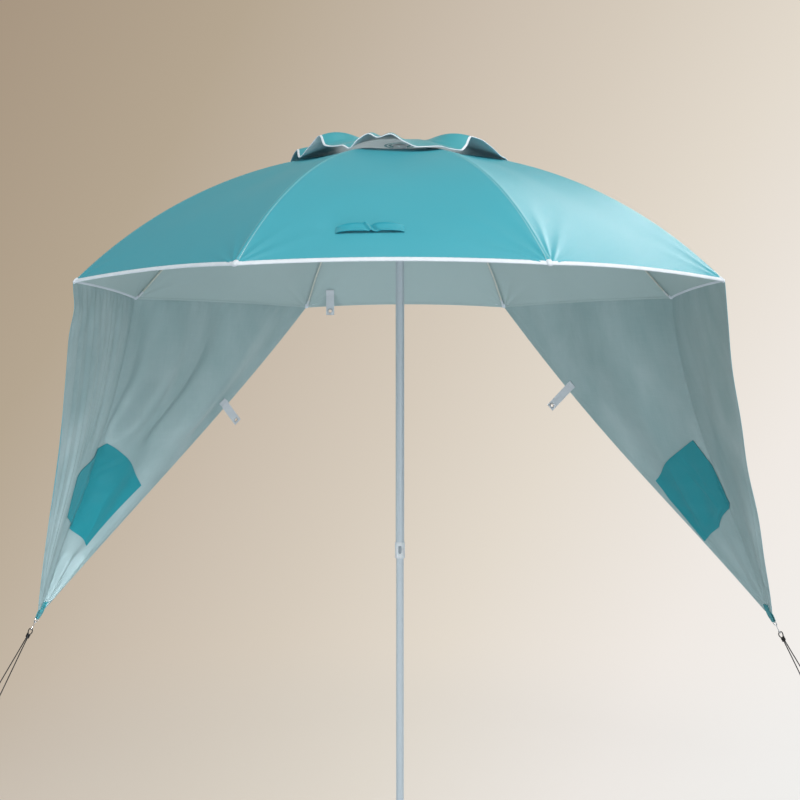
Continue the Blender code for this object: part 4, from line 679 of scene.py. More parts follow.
def makeTipPockets():                   # a flattened ellipsoid: rings along the cloth, each a superellipse
    along = np.linspace(0, 1, tipPocket["steps"])[:, None]
    size = (1 - (2 * along - 1) ** 4) ** 0.5 * 0.98 + 0.02
    angle = np.linspace(0, 2 * pi, tipPocket["steps"])[:-1]
    wide = size * np.sign(np.cos(angle)) * np.abs(np.cos(angle)) ** 0.8 * tipPocket["width"]
    deep = size * np.sin(angle) * tipPocket["depth"]
    uv = pairs(angle * tipPocket["width"], along * tipPocket["length"])
    for k in range(shelter["ribs"]):
        above, hem = canopyPoint(hemRows, k + besideRib)[:, 0]
        out = unit(hem - above)
        side = np.array([-sin(ribAngle(k)), cos(ribAngle(k)), 0.0])
        normal = unit(np.cross(out, side))
        normal *= np.sign(normal[2])
        past = tipPocket["past"] - (1 - along) * tipPocket["length"]
        place = hem + out * past - normal * tipPocket["under"]
        rings = place[:, None] + side * wide[..., None] + normal * deep[..., None]
        foldUp(closedTube(f"tip_pocket_{k + 1}", rings, uv, [cloths["binding"]]), k, "hem_binding",
               replaces=False)


# vent cap: ruffled disc with a piped edge, and a round patch under the cap nut
cap = dict(
    radius=0.362, top=2.236, bore=0.014, flat=0.025, fall=2.2, rest=0.0048, cloth=0.0014, rows=44, columns=85,
    keep=0.42, belly=0.010, bellyLift=0.045, valley=0.35,
    patch=0.052, patchFlat=0.030, patchDrop=0.0022, patchUp=0.0012, patchCloth=0.001,
    # the hem: plan angle, lift off the canopy, how far it draws in, and degrees that its fold turns further in
    hem=[(-172, 0.004, 0.000, 0), (-165, 0.024, 0.008, 0), (-158, 0.029, 0.010, 2), (-150, 0.003, 0.000, 5),
         (-143, 0.030, 0.010, 9), (-136, 0.058, 0.020, 12), (-130, 0.026, 0.008, 10), (-124, 0.017, 0.002, 5),
         (-118, 0.014, 0.000, 2), (-114, 0.001, 0.000, 0), (-110, 0.026, 0.008, 0), (-105, 0.043, 0.018, 0),
         (-100, 0.033, 0.014, 0), (-94, 0.043, 0.018, 0), (-87, 0.022, 0.008, 0), (-80, 0.005, 0.000, 0),
         (-71, 0.005, 0.000, -3), (-64, 0.001, 0.000, -7), (-58, 0.002, 0.000, -10), (-54, 0.018, 0.006, -12),
         (-49, 0.050, 0.016, -12), (-43, 0.047, 0.014, -6), (-36, 0.033, 0.010, -2), (-24, 0.004, 0.000, 0),
         (-10, 0.003, 0.000, 0), (10, 0.024, 0.010, 2), (22, 0.040, 0.018, 0), (34, 0.022, 0.006, -2),
         (48, 0.004, 0.000, 0), (60, 0.018, 0.008, 2), (72, 0.036, 0.016, 0), (84, 0.016, 0.004, -2),
         (98, 0.004, 0.000, 0), (110, 0.026, 0.012, 2), (121, 0.042, 0.018, 0), (134, 0.018, 0.006, -2),
         (146, 0.004, 0.000, 0), (158, 0.026, 0.010, 2), (167, 0.036, 0.016, 0), (178, 0.016, 0.004, -1)],
    # the piping's section: along the cloth past the hem, and off its middle
    piping=[(-0.0052, 0.0013), (0.0002, 0.0016), (0.0016, 0.0009), (0.0019, 0), (0.0016, -0.0009),
            (0.0002, -0.0016), (-0.0052, -0.0013), (-0.0052, -0.0009), (0.0, -0.0009), (0.0, 0.0009),
            (-0.0052, 0.0009)],
)


def aroundCap(angle, column):           # a smooth closed curve through the hem's table, with no overshoot
    table = np.array(cap["hem"], float)
    where = np.concatenate([table[-3:, 0] - 360, table[:, 0], table[:3, 0] + 360])
    value = np.concatenate([table[-3:, column], table[:, column], table[:3, column]])
    rise = np.diff(value) / np.diff(where)
    slope = np.zeros(len(value))
    same = rise[:-1] * rise[1:] > 0
    slope[1:-1] = np.where(same, 2 * rise[:-1] * rise[1:] / np.where(same, rise[:-1] + rise[1:], 1), 0)
    x = (np.degrees(angle) + 180) % 360 - 180
    i = np.clip(np.searchsorted(where, x, side="right") - 1, 0, len(where) - 2)
    gap = where[i + 1] - where[i]
    s = (x - where[i]) / gap
    return (value[i] * (2 * s ** 3 - 3 * s ** 2 + 1) + gap * slope[i] * (s ** 3 - 2 * s ** 2 + s)
            + value[i + 1] * (3 * s ** 2 - 2 * s ** 3) + gap * slope[i + 1] * (s ** 3 - s ** 2))


def canopyHeight(x, y):                 # the canopy's flat chords under a point near the crown
    off = (np.arctan2(y, x) + goreAngle / 2) % goreAngle - goreAngle / 2
    ridge = np.hypot(x, y) * np.cos(off) / cos(goreAngle / 2)
    return domeCentre + np.sqrt(domeRadius ** 2 - ridge ** 2)


def capPoint(share, angle):
    # share is 0 at the crown stud and 1 at the hem: a dome that falls by a power, with the hem's lift worked in
    share, angle = np.broadcast_arrays(share, angle)
    lift, draw, lean = (aroundCap(angle, i) for i in (1, 2, 3))
    edge = cap["radius"] - draw
    r = cap["bore"] + (edge - cap["bore"]) * share
    hem = canopyHeight(edge * np.cos(angle), edge * np.sin(angle)) + cap["rest"] + lift
    down = (np.maximum(r - cap["flat"], 0) / (edge - cap["flat"])) ** cap["fall"]
    z = cap["top"] - (cap["top"] - hem) * down
    # the ruffle's belly, and the valley behind it
    z = z + cap["belly"] * (lift / cap["bellyLift"]) ** 2 * np.sin(pi * share ** 3) * share ** 2
    z = z - cap["valley"] * lift * np.sin(pi * share) ** 2 * share
    turned = angle + np.radians(lean) * np.sin(pi * share ** 1.6)
    return np.stack([r * np.cos(turned), r * np.sin(turned), z], axis=-1)


def makeVentCap():                      # eight sectors, each moved half the cloth either way, and their piping
    share = np.linspace(0.05, 1, cap["rows"])[:, None] ** 0.8
    share = (share - share[0]) / (1 - share[0]) * 0.93 + 0.07
    tape = np.array(cap["piping"])
    for k in range(shelter["ribs"]):
        angle = goreAngle * k + np.linspace(0, goreAngle, cap["columns"])[None, :]
        wide = np.concatenate([angle[:, :1] - 0.02, angle, angle[:, -1:] + 0.02], axis=1)
        points = capPoint(share, wide)
        normals = gridNormals(points)[:, 1:-1]
        points = points[:, 1:-1]
        normals *= np.sign(normals[..., 2:])
        half = normals * cap["cloth"] / 2
        r = np.linalg.norm(points[..., :2], axis=-1)
        uv = pairs((angle - angle.mean()) * r, r)
        sector = closedSheet(f"vent_cap_{k + 1}", points + half, points - half, uv,
                             [cloths["cap"], cloths["capUnderLightened"]])
        foldUp(sector, k, "vent_cap")
        declareCloth(points)
        # piping: a narrow white tape folded over the hem
        edge = points[-1]
        out = unit(edge - points[-3])
        rings = edge[:, None] + out[:, None] * tape[:, :1] + normals[-1][:, None] * tape[:, 1:]
        uv = pairs(pathLength(tape), pathLength(edge)[:, None])
        piping = closedTube(f"vent_cap_piping_{k + 1}", rings, uv, [cloths["binding"]])
        foldUp(piping, k, "vent_cap")
    # the patch stays with the crown
    angle = np.linspace(0, 2 * pi, 73)
    r = np.linspace(cap["bore"] - 0.004, cap["patch"], 9)[:, None]
    z = cap["top"] + cap["patchUp"] - cap["patchDrop"] * smoothStep(cap["patchFlat"], cap["patch"], r)
    middle = np.stack([r * np.cos(angle), r * np.sin(angle), z + 0 * angle], axis=-1)
    lift = np.array([0, 0, cap["patchCloth"] / 2])
    patch = closedSheet("vent_cap_patch", middle + lift, middle - lift, middle[..., :2], [cloths["patch"]])
    finish(patch, "upper_section", "vent_cap")


makeCanopy()
makeBinding()
makeTipPockets()
makeVentCap()
print("canopy, binding and vent cap made")


# guy ropes: one doubled cord a side, from the hook through the slider to the peg
guy = dict(
    slope=57.8, radius=0.0020, strandGap=0.0008, bend=0.0085, top=0.0931, wrapAt=0.026, sliderAt=0.415,
    sliderHoles=0.028, sliderHalf=0.0030, pegHold=0.014, pegRadius=0.0030, pegLean=20.0, clear=0.0003,
    sides=14, step=0.0045, softest=0.048, knotSides=12, knot=0.0030, knotAt=0.0095, knotThick=0.95,
    # whipping, in radii of the cord: how far out, how far on in a turn, how thick; and its turns
    wrapReach=2.03, wrapPitch=2.08, wrapThick=0.96, topTurns=4, pegTurns=3,
    # how far above the loop's middle the strands close up, and where they start to
    closed=0.030, closing=0.018,
)


def wingAxes(side):
    # level, away from the pole at the wing's rib; level, towards the open front
    angle = ribAngle(wingRib[side])
    return np.array([cos(angle), sin(angle), 0.0]), np.array([-sin(angle), cos(angle), 0.0]) * wayOf[side]


def wingTip(side):                      # the wing's reach out from the pole, at its height
    return wingAxes(side)[0] * shelter["wingReach"] + np.array([0, 0, shelter["wingHeight"]])


def onLine(side, spots):
    # spots are (down the line from the wing's point, out from it, across it)
    out, front = wingAxes(side)
    slope = radians(guy["slope"])
    level = np.array([0, 0, 1.0])
    down = out * cos(slope) - level * sin(slope)
    lift = out * sin(slope) + level * cos(slope)
    return wingTip(side) + np.asarray(spots, float) @ np.array([down, lift, front])


def smoothPath(spots, step):
    # a cubic through the spots whose bends keep to the ends of long straights
    gaps = np.linalg.norm(np.diff(spots, axis=0), axis=1)
    ways = np.diff(spots, axis=0) / gaps[:, None]
    before, after = gaps[:-1, None], gaps[1:, None]
    slopes = np.concatenate([ways[:1], (ways[:-1] * after + ways[1:] * before) / (before + after), ways[-1:]])
    made = [spots[:1]]
    for i, gap in enumerate(gaps):
        steps = max(2, int(np.ceil(gap / step)))
        t = (np.arange(1, steps + 1) / steps)[:, None]
        run = spots[i + 1] - spots[i]
        bend = (slopes[i] * gap - run) * t * (1 - t) ** 2 - (slopes[i + 1] * gap - run) * t ** 2 * (1 - t)
        made.append(spots[i] + run * t + bend * min(gap, guy["softest"]) / gap)
    return np.concatenate(made)


def ropeSpots(side):
    # up one strand, over the hook, down the other and round the peg; also where the knot and the loop are
    near = guy["radius"] + guy["strandGap"] / 2
    half, bend = guy["sliderHoles"] / 2, guy["bend"]
    knot = guy["top"] + guy["wrapAt"]
    eye = guy["top"] + bend
    slider, straight = guy["sliderAt"], guy["sliderHalf"] * 3
    ends = [(slider + straight, half), (slider - straight, half), (knot + 0.02, near), (knot, near),
            (eye + 0.008, bend * 0.9)]
    over = [(eye - bend * sin(a), bend * cos(a)) for a in np.radians(np.linspace(0, 180, 9))]
    spots = [(s, h, 0) for s, h in ends + over + [(s, -h) for s, h in ends[::-1]]]
    lean, slope = radians(guy["pegLean"]), radians(guy["slope"])
    pegAt = (shelter["wingHeight"] - guy["pegHold"]) / sin(slope)
    across = cos(slope) * cos(lean) + sin(slope) * sin(lean)    # the line's way along the peg's far side
    loop = pegAt + (guy["pegRadius"] + guy["radius"] + guy["clear"]) / across - bend
    spots += [(loop - guy["closed"], 0, near), (loop - guy["closing"], 0, near * 1.3)]
    spots += [(loop + bend * cos(a), 0, bend * sin(a)) for a in np.radians(np.linspace(130, -130, 11))]
    spots += [(loop - guy["closing"], 0, -near * 1.3), (loop - guy["closed"] - 0.002, 0, -near)]
    return spots, knot, loop


def wrapPath(side, centre, turns, across):
    # a tight helix round both strands, which lie side by side out from the line or across it
    radius = guy["radius"]
    reach = radius * guy["wrapReach"]
    angle = np.linspace(0, 2 * pi * turns, 14 * turns + 1)
    wide = (radius + guy["strandGap"] / 2 + reach) * np.cos(angle)
    deep = reach * np.sin(angle)
    along = centre + (angle / (2 * pi) - turns / 2) * radius * guy["wrapPitch"]
    return onLine(side, np.stack([along, deep, wide] if across else [along, wide, deep], axis=1))


def stopperPath(side, way):
    # an overhand knot under the slider: the closed curve of a pulled-down trefoil
    a = np.linspace(0, 2 * pi, 73)[:-1]
    size = guy["knot"]
    return onLine(side, np.stack([
        guy["sliderAt"] + guy["sliderHalf"] + guy["knotAt"] + size * np.sin(3 * a) - 0.0002,
        way * guy["sliderHoles"] / 2 + size * (np.sin(a) + 0.85 * np.sin(2 * a)),
        size * (np.cos(a) - 0.85 * np.cos(2 * a))], axis=1))


def makeRopes():                        # round sections along each rope's path, its wraps and its knots
    radius = guy["radius"]
    for side in ("left", "right"):
        spots, knot, loop = ropeSpots(side)
        path = smoothPath(onLine(side, spots), guy["step"])
        rope = roundTube(f"{side}_rope", path, radius, hard["cord"], guy["sides"])
        finish(rope, f"{side}_wing_set", f"{side}_guy_rope")
        pieces = []
        # whipping below the hook and over the two strands that come back from the peg, and the two stoppers
        for label, way, thick, endless in (
                ("top_wrap", wrapPath(side, knot + 0.006, guy["topTurns"], False), guy["wrapThick"], False),
                ("peg_wrap", wrapPath(side, loop - 0.031, guy["pegTurns"], True), guy["wrapThick"], False),
                ("stopper_upper", stopperPath(side, 1), guy["knotThick"], True),
                ("stopper_lower", stopperPath(side, -1), guy["knotThick"], True)):
            piece = roundTube(f"{side}_{label}", way, radius * thick, hard["cord"], guy["knotSides"], endless)
            finish(piece, f"{side}_wing_set", f"{side}_guy_rope", replaces=False)
            pieces.append(piece)
        pieces += [nodes[f"{side}_line_slider"], nodes[f"{side}_ground_peg"]]


makeRopes()
print("guy ropes made")


# side wings: one cut of cloth each, from hem to peg
wing = dict(
    columns=181, rows=161, keep=0.05, lean=0.13, sagMiddle=0.045, sagEdge=0.027, sagAt=0.35,
    # slow folds: height, how many across the hem, where they start
    folds=dict(left=((0.010, 4.0, 0.6), (0.007, 1.7, 2.1)), right=((0.006, 3.2, 1.9), (0.007, 1.4, 0.5))),
    pucker=dict(left=(34, 0.0026), right=(26, 0.0014)),     # how many, and how high, where it is gathered on
    puckerReach=0.035, edgeWide=1.6, hemIn=0.024, hemWidth=0.0035, hemDepth=0.0020,
    # left: gathers, drapes (height, number, start), edge, strip (height, place, width), creases at the peg
    gather=0.0100, gathers=21, drapes=((0.022, 4.3, 0.4), (0.0140, 9.5, 1.2)), drapeBow=0.055, drawnIn=0.014,
    strip=(0.0100, 0.478, 0.013), pegCrease=0.0040, pegCreases=((0.78, 0.035), (0.52, 0.035)),
    # right: seams (place and bow), and the outer edge's waves
    seamDepth=0.0022, seamWidth=0.006, seams=((0.455, 0.004), (0.520, -0.010)), wavyEdge=0.0035, wavyEdges=3.2,
)


def hemAt(g):                           # where the wing's cloth starts, just past the canopy's binding
    above, hem = canopyPoint(hemRows, g.reshape(1, -1))
    return (hem + unit(hem - above) * shelter["wingGap"]).reshape(*g.shape, 3)


def edgeHem(u, v):                      # the line of stitches that holds the turned-in edge
    wide = wing["edgeWide"] * (1 - v) + shelter["cornerWidth"]
    lines = sum(hump(far * wide, wing["hemIn"], wing["hemWidth"]) for far in (u, 1 - u))
    return -wing["hemDepth"] * lines * smoothStep(1.0, 0.8, v)


def leftWave(u, v):
    # gathers fanned from the point, drapes, a strip, and creases near the peg
    wide = 0.86 * (1 - v) + 0.03
    count = 2 * pi * wing["gathers"] * (u + 0.006 * np.sin(9 * v))
    fine = (np.sin(count) + 0.55 * np.sin(1.63 * count + 1.0) + 0.35 * np.sin(0.41 * count + 2.0)) / 1.6
    gathers = (wing["gather"] * fine * wide * smoothStep(0.0, 0.10, v) * smoothStep(1.0, 0.55, v)
               * (0.12 + smoothStep(0.50, 0.40, u)))
    bowed = u - wing["drapeBow"] * np.sin(pi * np.clip(v / 0.45, 0, 1)) * smoothStep(1.0, 0.75, u)
    upper = smoothStep(0.70, 0.25, v) * smoothStep(0.95, 0.62, u)
    slow, quick = (size * np.sin(2 * pi * many * bowed + start) for size, many, start in wing["drapes"])
    drape = (slow + quick * upper) * smoothStep(0.49, 0.56, u)
    drape = drape * np.sin(pi * v) ** 0.6 * smoothStep(1.0, 0.92, u)
    drawnIn = -wing["drawnIn"] * hump(v, 0.07, 0.045) * smoothStep(0.12, 0.0, u)
    depth, *line = wing["strip"]
    strip = -depth * hump(u, *line) * np.sin(pi * v) ** 0.5 * wide
    calm = 1 - smoothStep(0.40, 0.50, v) * smoothStep(0.86, 0.80, v) * smoothStep(0.18, 0.28, u)
    point = -wing["pegCrease"] * sum(hump(u, *line) for line in wing["pegCreases"])
    return ((gathers + drape + strip) * calm + drawnIn
            + point * smoothStep(0.78, 0.84, v) * smoothStep(0.99, 0.95, v))


def rightWave(u, v):                    # a tauter cloth: slack, two long seams, and a wavy outer edge
    slack = 0.006 * np.sin(2 * pi * (2.3 * u + 0.35 * v) + 1.0) + 0.004 * np.sin(2 * pi * (4.1 * u - 0.9 * v))
    seams = sum(hump(u, at + bow * np.sin(pi * v), wing["seamWidth"]) for at, bow in wing["seams"])
    wavy = wing["wavyEdge"] * np.sin(2 * pi * wing["wavyEdges"] * v + 0.6)
    wavy = wavy * smoothStep(0.10, 0.0, u) * np.sin(pi * v)
    return slack * np.sin(pi * v) ** 0.8 - wing["seamDepth"] * seams * np.sin(pi * v) ** 0.4 + wavy


def wingSurface(side, u, v):
    # the cloth's middle surface: straight from the hem to the peg's corner, bellied inwards by its sag and
    # pushed along the way out by slow folds, finer waves, the stitched edge and small scallops at the hem
    u, v = np.broadcast_arrays(np.asarray(u, float), np.asarray(v, float))
    out, front = wingAxes(side)
    top = hemAt(wingRib[side] + wayOf[side] * (1 - 2 * u))
    point = wingTip(side) + (0.5 - u)[..., None] * shelter["cornerWidth"] * front
    power = (1 - wing["sagAt"]) / wing["sagAt"]
    shape = v * np.clip(1 - v, 0, 1) ** power / (wing["sagAt"] * (1 - wing["sagAt"]) ** power)
    sag = (wing["sagEdge"] + (wing["sagMiddle"] - wing["sagEdge"]) * (1 - (2 * u - 1) ** 2)) * shape
    folds = sum(height * np.sin(2 * pi * count * u + start) for height, count, start in wing["folds"][side])
    push = folds * np.sin(pi * np.clip(v, 0, 1)) ** 0.8 * (1 - 0.5 * v) - sag
    push = push + (leftWave if side == "left" else rightWave)(u, v) + edgeHem(u, v)
    many, size = wing["pucker"][side]
    count = 2 * pi * many * u
    scallops = size * (np.sin(count) + 0.5 * np.sin(2.3 * count + 0.8)) * np.exp(-v / wing["puckerReach"])
    push = push + scallops * smoothStep(0, 0.012, v)
    return top * (1 - v[..., None]) + point * v[..., None] + push[..., None] * out


def outwards(side, normal):             # turned over where it faces the pole
    return normal * np.sign((normal * wingAxes(side)[0]).sum(axis=-1, keepdims=True))


def wingNormal(side, u, v):             # towards the outside, from small steps either way
    step = 1e-3
    across = wingSurface(side, np.clip(u + step, 0, 1), v) - wingSurface(side, np.clip(u - step, 0, 1), v)
    down = wingSurface(side, u, np.clip(v + step, 0, 0.999)) - wingSurface(side, u, np.clip(v - step, 0, 0.999))
    return outwards(side, unit(np.cross(across, down)))


def wingPlace(side, along, inward):
    # (u, v) of a spot measured from the point up the rear edge, and in from it
    ends = hemAt(wingRib[side] + wayOf[side] * np.array([0.0, -1.0])) - wingTip(side)
    over = ends[0] @ unit(ends[1])
    middle = inward / sqrt(ends[0] @ ends[0] - over ** 2)
    rear = (along - middle * over) / np.linalg.norm(ends[1])
    return 0.5 + 0.5 * rear / (rear + middle), 1 - (rear + middle)


def hangOnWing(piece, side, node):
    # rides with the wing's body, with its own copy of its mesh
    finish(piece, f"{side}_wing_set", node)
    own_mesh(piece)


def runAlong(grid, axis):               # running length along the lines of a grid
    return np.linalg.norm(np.diff(grid, axis=axis, prepend=np.take(grid, [0], axis)), axis=-1).cumsum(axis)


def makeWings():                        # the middle surface moved half the cloth's thickness each way
    u = np.linspace(0, 1, wing["columns"])[None, :]
    v = np.linspace(0, 1, wing["rows"])[:, None]
    for side in ("left", "right"):
        middle = wingSurface(side, u, v)
        half = outwards(side, gridNormals(middle)) * shelter["wingCloth"] / 2
        wide = np.linalg.norm(middle[:, -1] - middle[:, 0], axis=-1)[:, None]
        uv = pairs((u - 0.5) * wide, runAlong(middle, 0))
        cloth = closedSheet(f"{side}_side_wing", middle + half, middle - half, uv,
                            [cloths["outside"], cloths["wing"]])
        hangOnWing(cloth, side, f"{side}_wing")
        declareCloth(middle)


# sand pockets on the wings' inner faces, each a patch between the wing's rear edge and its crease
pocket = dict(
    # corners at the rear edge as (u, v) of the wing, upper and lower
    rear=dict(left=((0.8675, 0.6045), (0.785, 0.7985)), right=((0.955, 0.5895), (0.98, 0.7836))),
    # spots down the crease: how far down the pocket, u and v
    crease=dict(left=((0, 0.5475, 0.4577), (0.44, 0.3075, 0.5348), (0.53, 0.27, 0.5547), (0.80, 0.285, 0.6293),
                      (1, 0.31, 0.6866)),
                right=((0, 0.55, 0.4453), (0.27, 0.5075, 0.5099), (0.74, 0.45, 0.6443), (1, 0.685, 0.7288))),
    # sharper creases in it: height, place across, how far they slant
    lines=((0.0024, 0.72, 0.22), (-0.0022, 0.79, 0.18), (0.0014, 0.30, -0.30)), lineWidth=0.022,
    cloth=0.0014, belly=0.0040, columns=61, rows=81, clear=0.0016,
)


def makePockets():
    # the wing's surface raised inwards by a belly, slow creases and sharp ones
    rows = np.linspace(0, 1, pocket["rows"])[:, None]
    share = np.linspace(0, 1, pocket["columns"])[None, :]
    lines = sum(size * hump(share, at + slant * (rows - 0.5), pocket["lineWidth"])
                for size, at, slant in pocket["lines"])
    for side in ("left", "right"):
        rear, crease = np.array(pocket["rear"][side]), np.array(pocket["crease"][side]).T
        u, v = ((rear[0, i] + (rear[1, i] - rear[0, i]) * rows) * (1 - share)
                + np.interp(rows, crease[0], crease[i + 1]) * share for i in (0, 1))
        base = wingSurface(side, u, v)
        creases = (0.0016 * np.sin(2 * pi * (2.2 * share + 1.1 * rows) + wayOf[side])
                   + 0.0012 * np.sin(2 * pi * (3.4 * rows - 1.6 * share)))
        belly = (pocket["belly"] + creases + lines) * np.sin(pi * rows) ** 0.5 * np.sin(pi * share) ** 0.5
        away = -wingNormal(side, u, v)
        near = base + away * (belly + pocket["clear"])[..., None]
        far = near + away * pocket["cloth"]
        uv = pairs(runAlong(base, 1), runAlong(base, 0))
        piece = closedSheet(f"{side}_sand_pocket", far, near, uv, [cloths["pocket"]])
        hangOnWing(piece, side, f"{side}_pocket")
        declareCloth((near + far) / 2)


makeWings()
makePockets()
print("wings and pockets made")


# webbing tabs with pressed eyelets
tab = dict(
    width=0.032, thick=0.0022, hole=0.0060, barrel=0.0072, flange=0.0115, wall=0.0009, end=0.0155,
    columns=17, rowStep=0.002, rings=7, round=48, offWing=0.0026, offBack=0.0021,
    stitched=(0.034, 0.002), fall=0.10, bow=0.0025,         # sewn from here to here in from the wing's edge
    # on each wing: how far up the rear edge from the point, and how long it hangs free
    sewn=dict(left=(1.020, 0.108), right=(1.110, 0.125)),
    backAt=-0.300, backRows=(0.905, 0.925), backDrops=(0, 0.012, 0.045, 0.078),
)


def alongPath(spots, run, grid):        # the rows of a grid read off at any number of places along it
    return np.stack([np.interp(spots, run, column) for column in grid.T], axis=-1)


def tabMesh(length):
    # a plan of the tab with a real hole: strips across it, then a square round the eyelet in rings
    half, middle, many = tab["width"] / 2, length - tab["end"], tab["columns"]
    low = middle - half
    columns, rise = np.linspace(-half, half, many), np.linspace(low, length, many)
    count = int(low / tab["rowStep"])
    points = pairs(columns[None, :], np.linspace(0, low, count)[:, None]).reshape(-1, 2).tolist()
    quads = gridFaces(count, many).tolist()
    # the square's outline, once round from the strip's last row, and the same spots drawn in to the barrel
    outline = np.array([(c, low) for c in columns] + [(half, r) for r in rise[1:]]
                       + [(c, length) for c in columns[::-1][1:]] + [(-half, r) for r in rise[::-1][1:-1]])
    turn = np.arctan2(outline[:, 1] - middle, outline[:, 0])
    ring = np.stack([np.cos(turn), middle / tab["barrel"] + np.sin(turn)], axis=1) * tab["barrel"]
    last = [*range((count - 1) * many, count * many), *range(len(points), len(points) + len(outline) - many)]
    points += outline[many:].tolist()
    for share in np.linspace(0, 1, tab["rings"])[1:]:
        now = list(range(len(points), len(points) + len(outline)))
        points += (outline * (1 - share) + ring * share).tolist()
        quads += zip(last, last[1:] + last[:1], now[1:] + now[:1], now)
        last = now
    return np.array(points), np.array(quads)


def shell(name, top, under, quads, uv, material):
    # two copies of the same faces, joined by a wall along every edge that only one face has
    count = len(top)
    ways = pairs(quads, np.roll(quads, -1, axis=1)).reshape(-1, 2)
    _, first, times = np.unique(np.sort(ways, axis=1), axis=0, return_index=True, return_counts=True)
    rim = ways[first[times == 1]]
    every = np.concatenate([quads, quads[:, ::-1] + count, np.concatenate([rim[:, ::-1], rim + count], axis=1)])
    a, b, c = (top[quads[:, i]] for i in range(3))
    if (np.cross(b - a, c - a) * (top - under)[quads[:, 0]]).sum() < 0:
        every = every[:, ::-1]
    return makePiece(name, np.concatenate([top, under]), every, np.concatenate([uv, uv]),
                     np.zeros(len(every)), [material], 40)


def eyeletProfile():                    # two rolled flanges and the barrel between them: radius, height
    hole, flange = tab["hole"], tab["flange"]
    upper = np.array([
        (hole, 0.0004), (hole + 0.0006, 0.0010), (hole + 0.0022, tab["wall"] * 1.35), (flange - 0.0012, 0.0008),
        (flange - 0.0003, 0.0004), (flange, 0), (tab["barrel"], -0.0001)])
    upper[:, 1] += tab["thick"] / 2 + 0.00005
    return np.concatenate([upper * (1, -1), upper[::-1]])


def makeEyeletTab(name, node, eyeletNode, path, across, place):
    # the path is the webbing's middle line, and place(piece, node) puts a piece on its body
    run, along = pathLength(path), unit(np.gradient(path, axis=0))
    side = np.broadcast_to(np.asarray(across, float), path.shape)
    side = unit(side - along * (side * along).sum(axis=1, keepdims=True))
    grids = path, side, np.cross(along, side)
    plan, quads = tabMesh(run[-1])
    spots, wide, out = (alongPath(plan[:, 1], run, grid) for grid in grids)
    middle, half = spots + wide * plan[:, :1], out * tab["thick"] / 2
    place(shell(name, middle + half, middle - half, quads, plan, cloths["greyWebbing"]), node)
    # the eyelet's profile turned about the hole
    spot, wide, out = (alongPath(run[-1] - tab["end"], run, grid) for grid in grids)
    wide, out = unit(wide), unit(out)
    angle = np.linspace(0, 2 * pi, tab["round"] + 1)[:-1, None]
    ring = (wide * np.cos(angle) + np.cross(wide, out) * np.sin(angle))[:, None]
    profile = eyeletProfile()
    rings = spot + ring * profile[None, :, :1] + out * profile[None, :, 1:]
    uv = pairs(pathLength(profile)[None], angle * tab["flange"])
    place(closedTube(name + "_grommet", rings, uv, [hard["zinc"]], endless=True), eyeletNode)


def softPath(spots, steps):
    # a curve through all the spots that heads, at each, along the line between its neighbours
    padded = np.concatenate([spots[:1] * 2 - spots[1:2], spots, spots[-1:] * 2 - spots[-2:-1]])
    t = np.linspace(0, 1, steps, endpoint=False).reshape(-1, *([1] * (spots.ndim - 1)))
    parts = [0.5 * (2 * b + (c - a) * t + (2 * a - 5 * b + 4 * c - d) * t ** 2
                    + (3 * b - a - 3 * c + d) * t ** 3)
             for a, b, c, d in zip(padded, padded[1:], padded[2:], padded[3:])]
    return np.concatenate(parts + [spots[-1:]])


def makeTabs():
    # sewn along a line in from the wing's edge, then free, with a fall that grows as its length to the 1.5
    down = np.array([0, 0, -1.0])
    for side, (along, free) in tab["sewn"].items():
        u, v = wingPlace(side, along, np.linspace(*tab["stitched"], 9))
        normal = wingNormal(side, u, v)
        sewn = wingSurface(side, u, v) - normal * tab["offWing"]
        s = np.linspace(0.12, 1.0, 8)[:, None] * free
        hang = sewn[-1] + unit(sewn[-1] - sewn[0]) * s + down * tab["fall"] * s ** 1.5
        bow = tab["bow"] * np.sin(pi * s / free) * normal[-1:]
        rear = hemAt(wingRib[side] - wayOf[side] * np.array([1.0]))[0]
        makeEyeletTab(f"{side}_webbing_tab", f"{side}_edge_tab", f"{side}_edge_eyelet",
                      softPath(np.concatenate([sewn, hang + bow]), 5), unit(wingTip(side) - rear),
                      lambda piece, node: hangOnWing(piece, side, node))

    # back tab: sewn inside the back gore and hanging past the hem
    rows = [canopyPoint(t, 1 + np.linspace(0, 0.999, 81)[::-1]) for t in tab["backRows"]]
    spots = np.array([alongPath(tab["backAt"], row[:, 0], row) for row in rows])
    slope = unit(spots[1] - spots[0])
    inner = np.cross(slope, [1, 0, 0])
    inner *= -np.sign(inner[2])
    sewn = spots + inner * (shelter["cloth"] + tab["offBack"] + tab["thick"] / 2)
    hang = sewn[-1] + slope * 0.006 + down * 0.004 + down * np.array(tab["backDrops"])[:, None]
    makeEyeletTab("back_webbing_tab", "back_tab", "back_eyelet", softPath(np.concatenate([sewn, hang]), 8),
                  (1, 0, 0), lambda piece, node: foldUp(piece, 2, node))


# corner tabs: teal webbing folded round the ring
ringTab = dict(
    grip=0.030, free=0.040, width=0.022, neck=0.013, ring=0.0107, wire=0.0016, clear=0.0009, slack=0.0006,
    columns=15, steps=7,
)


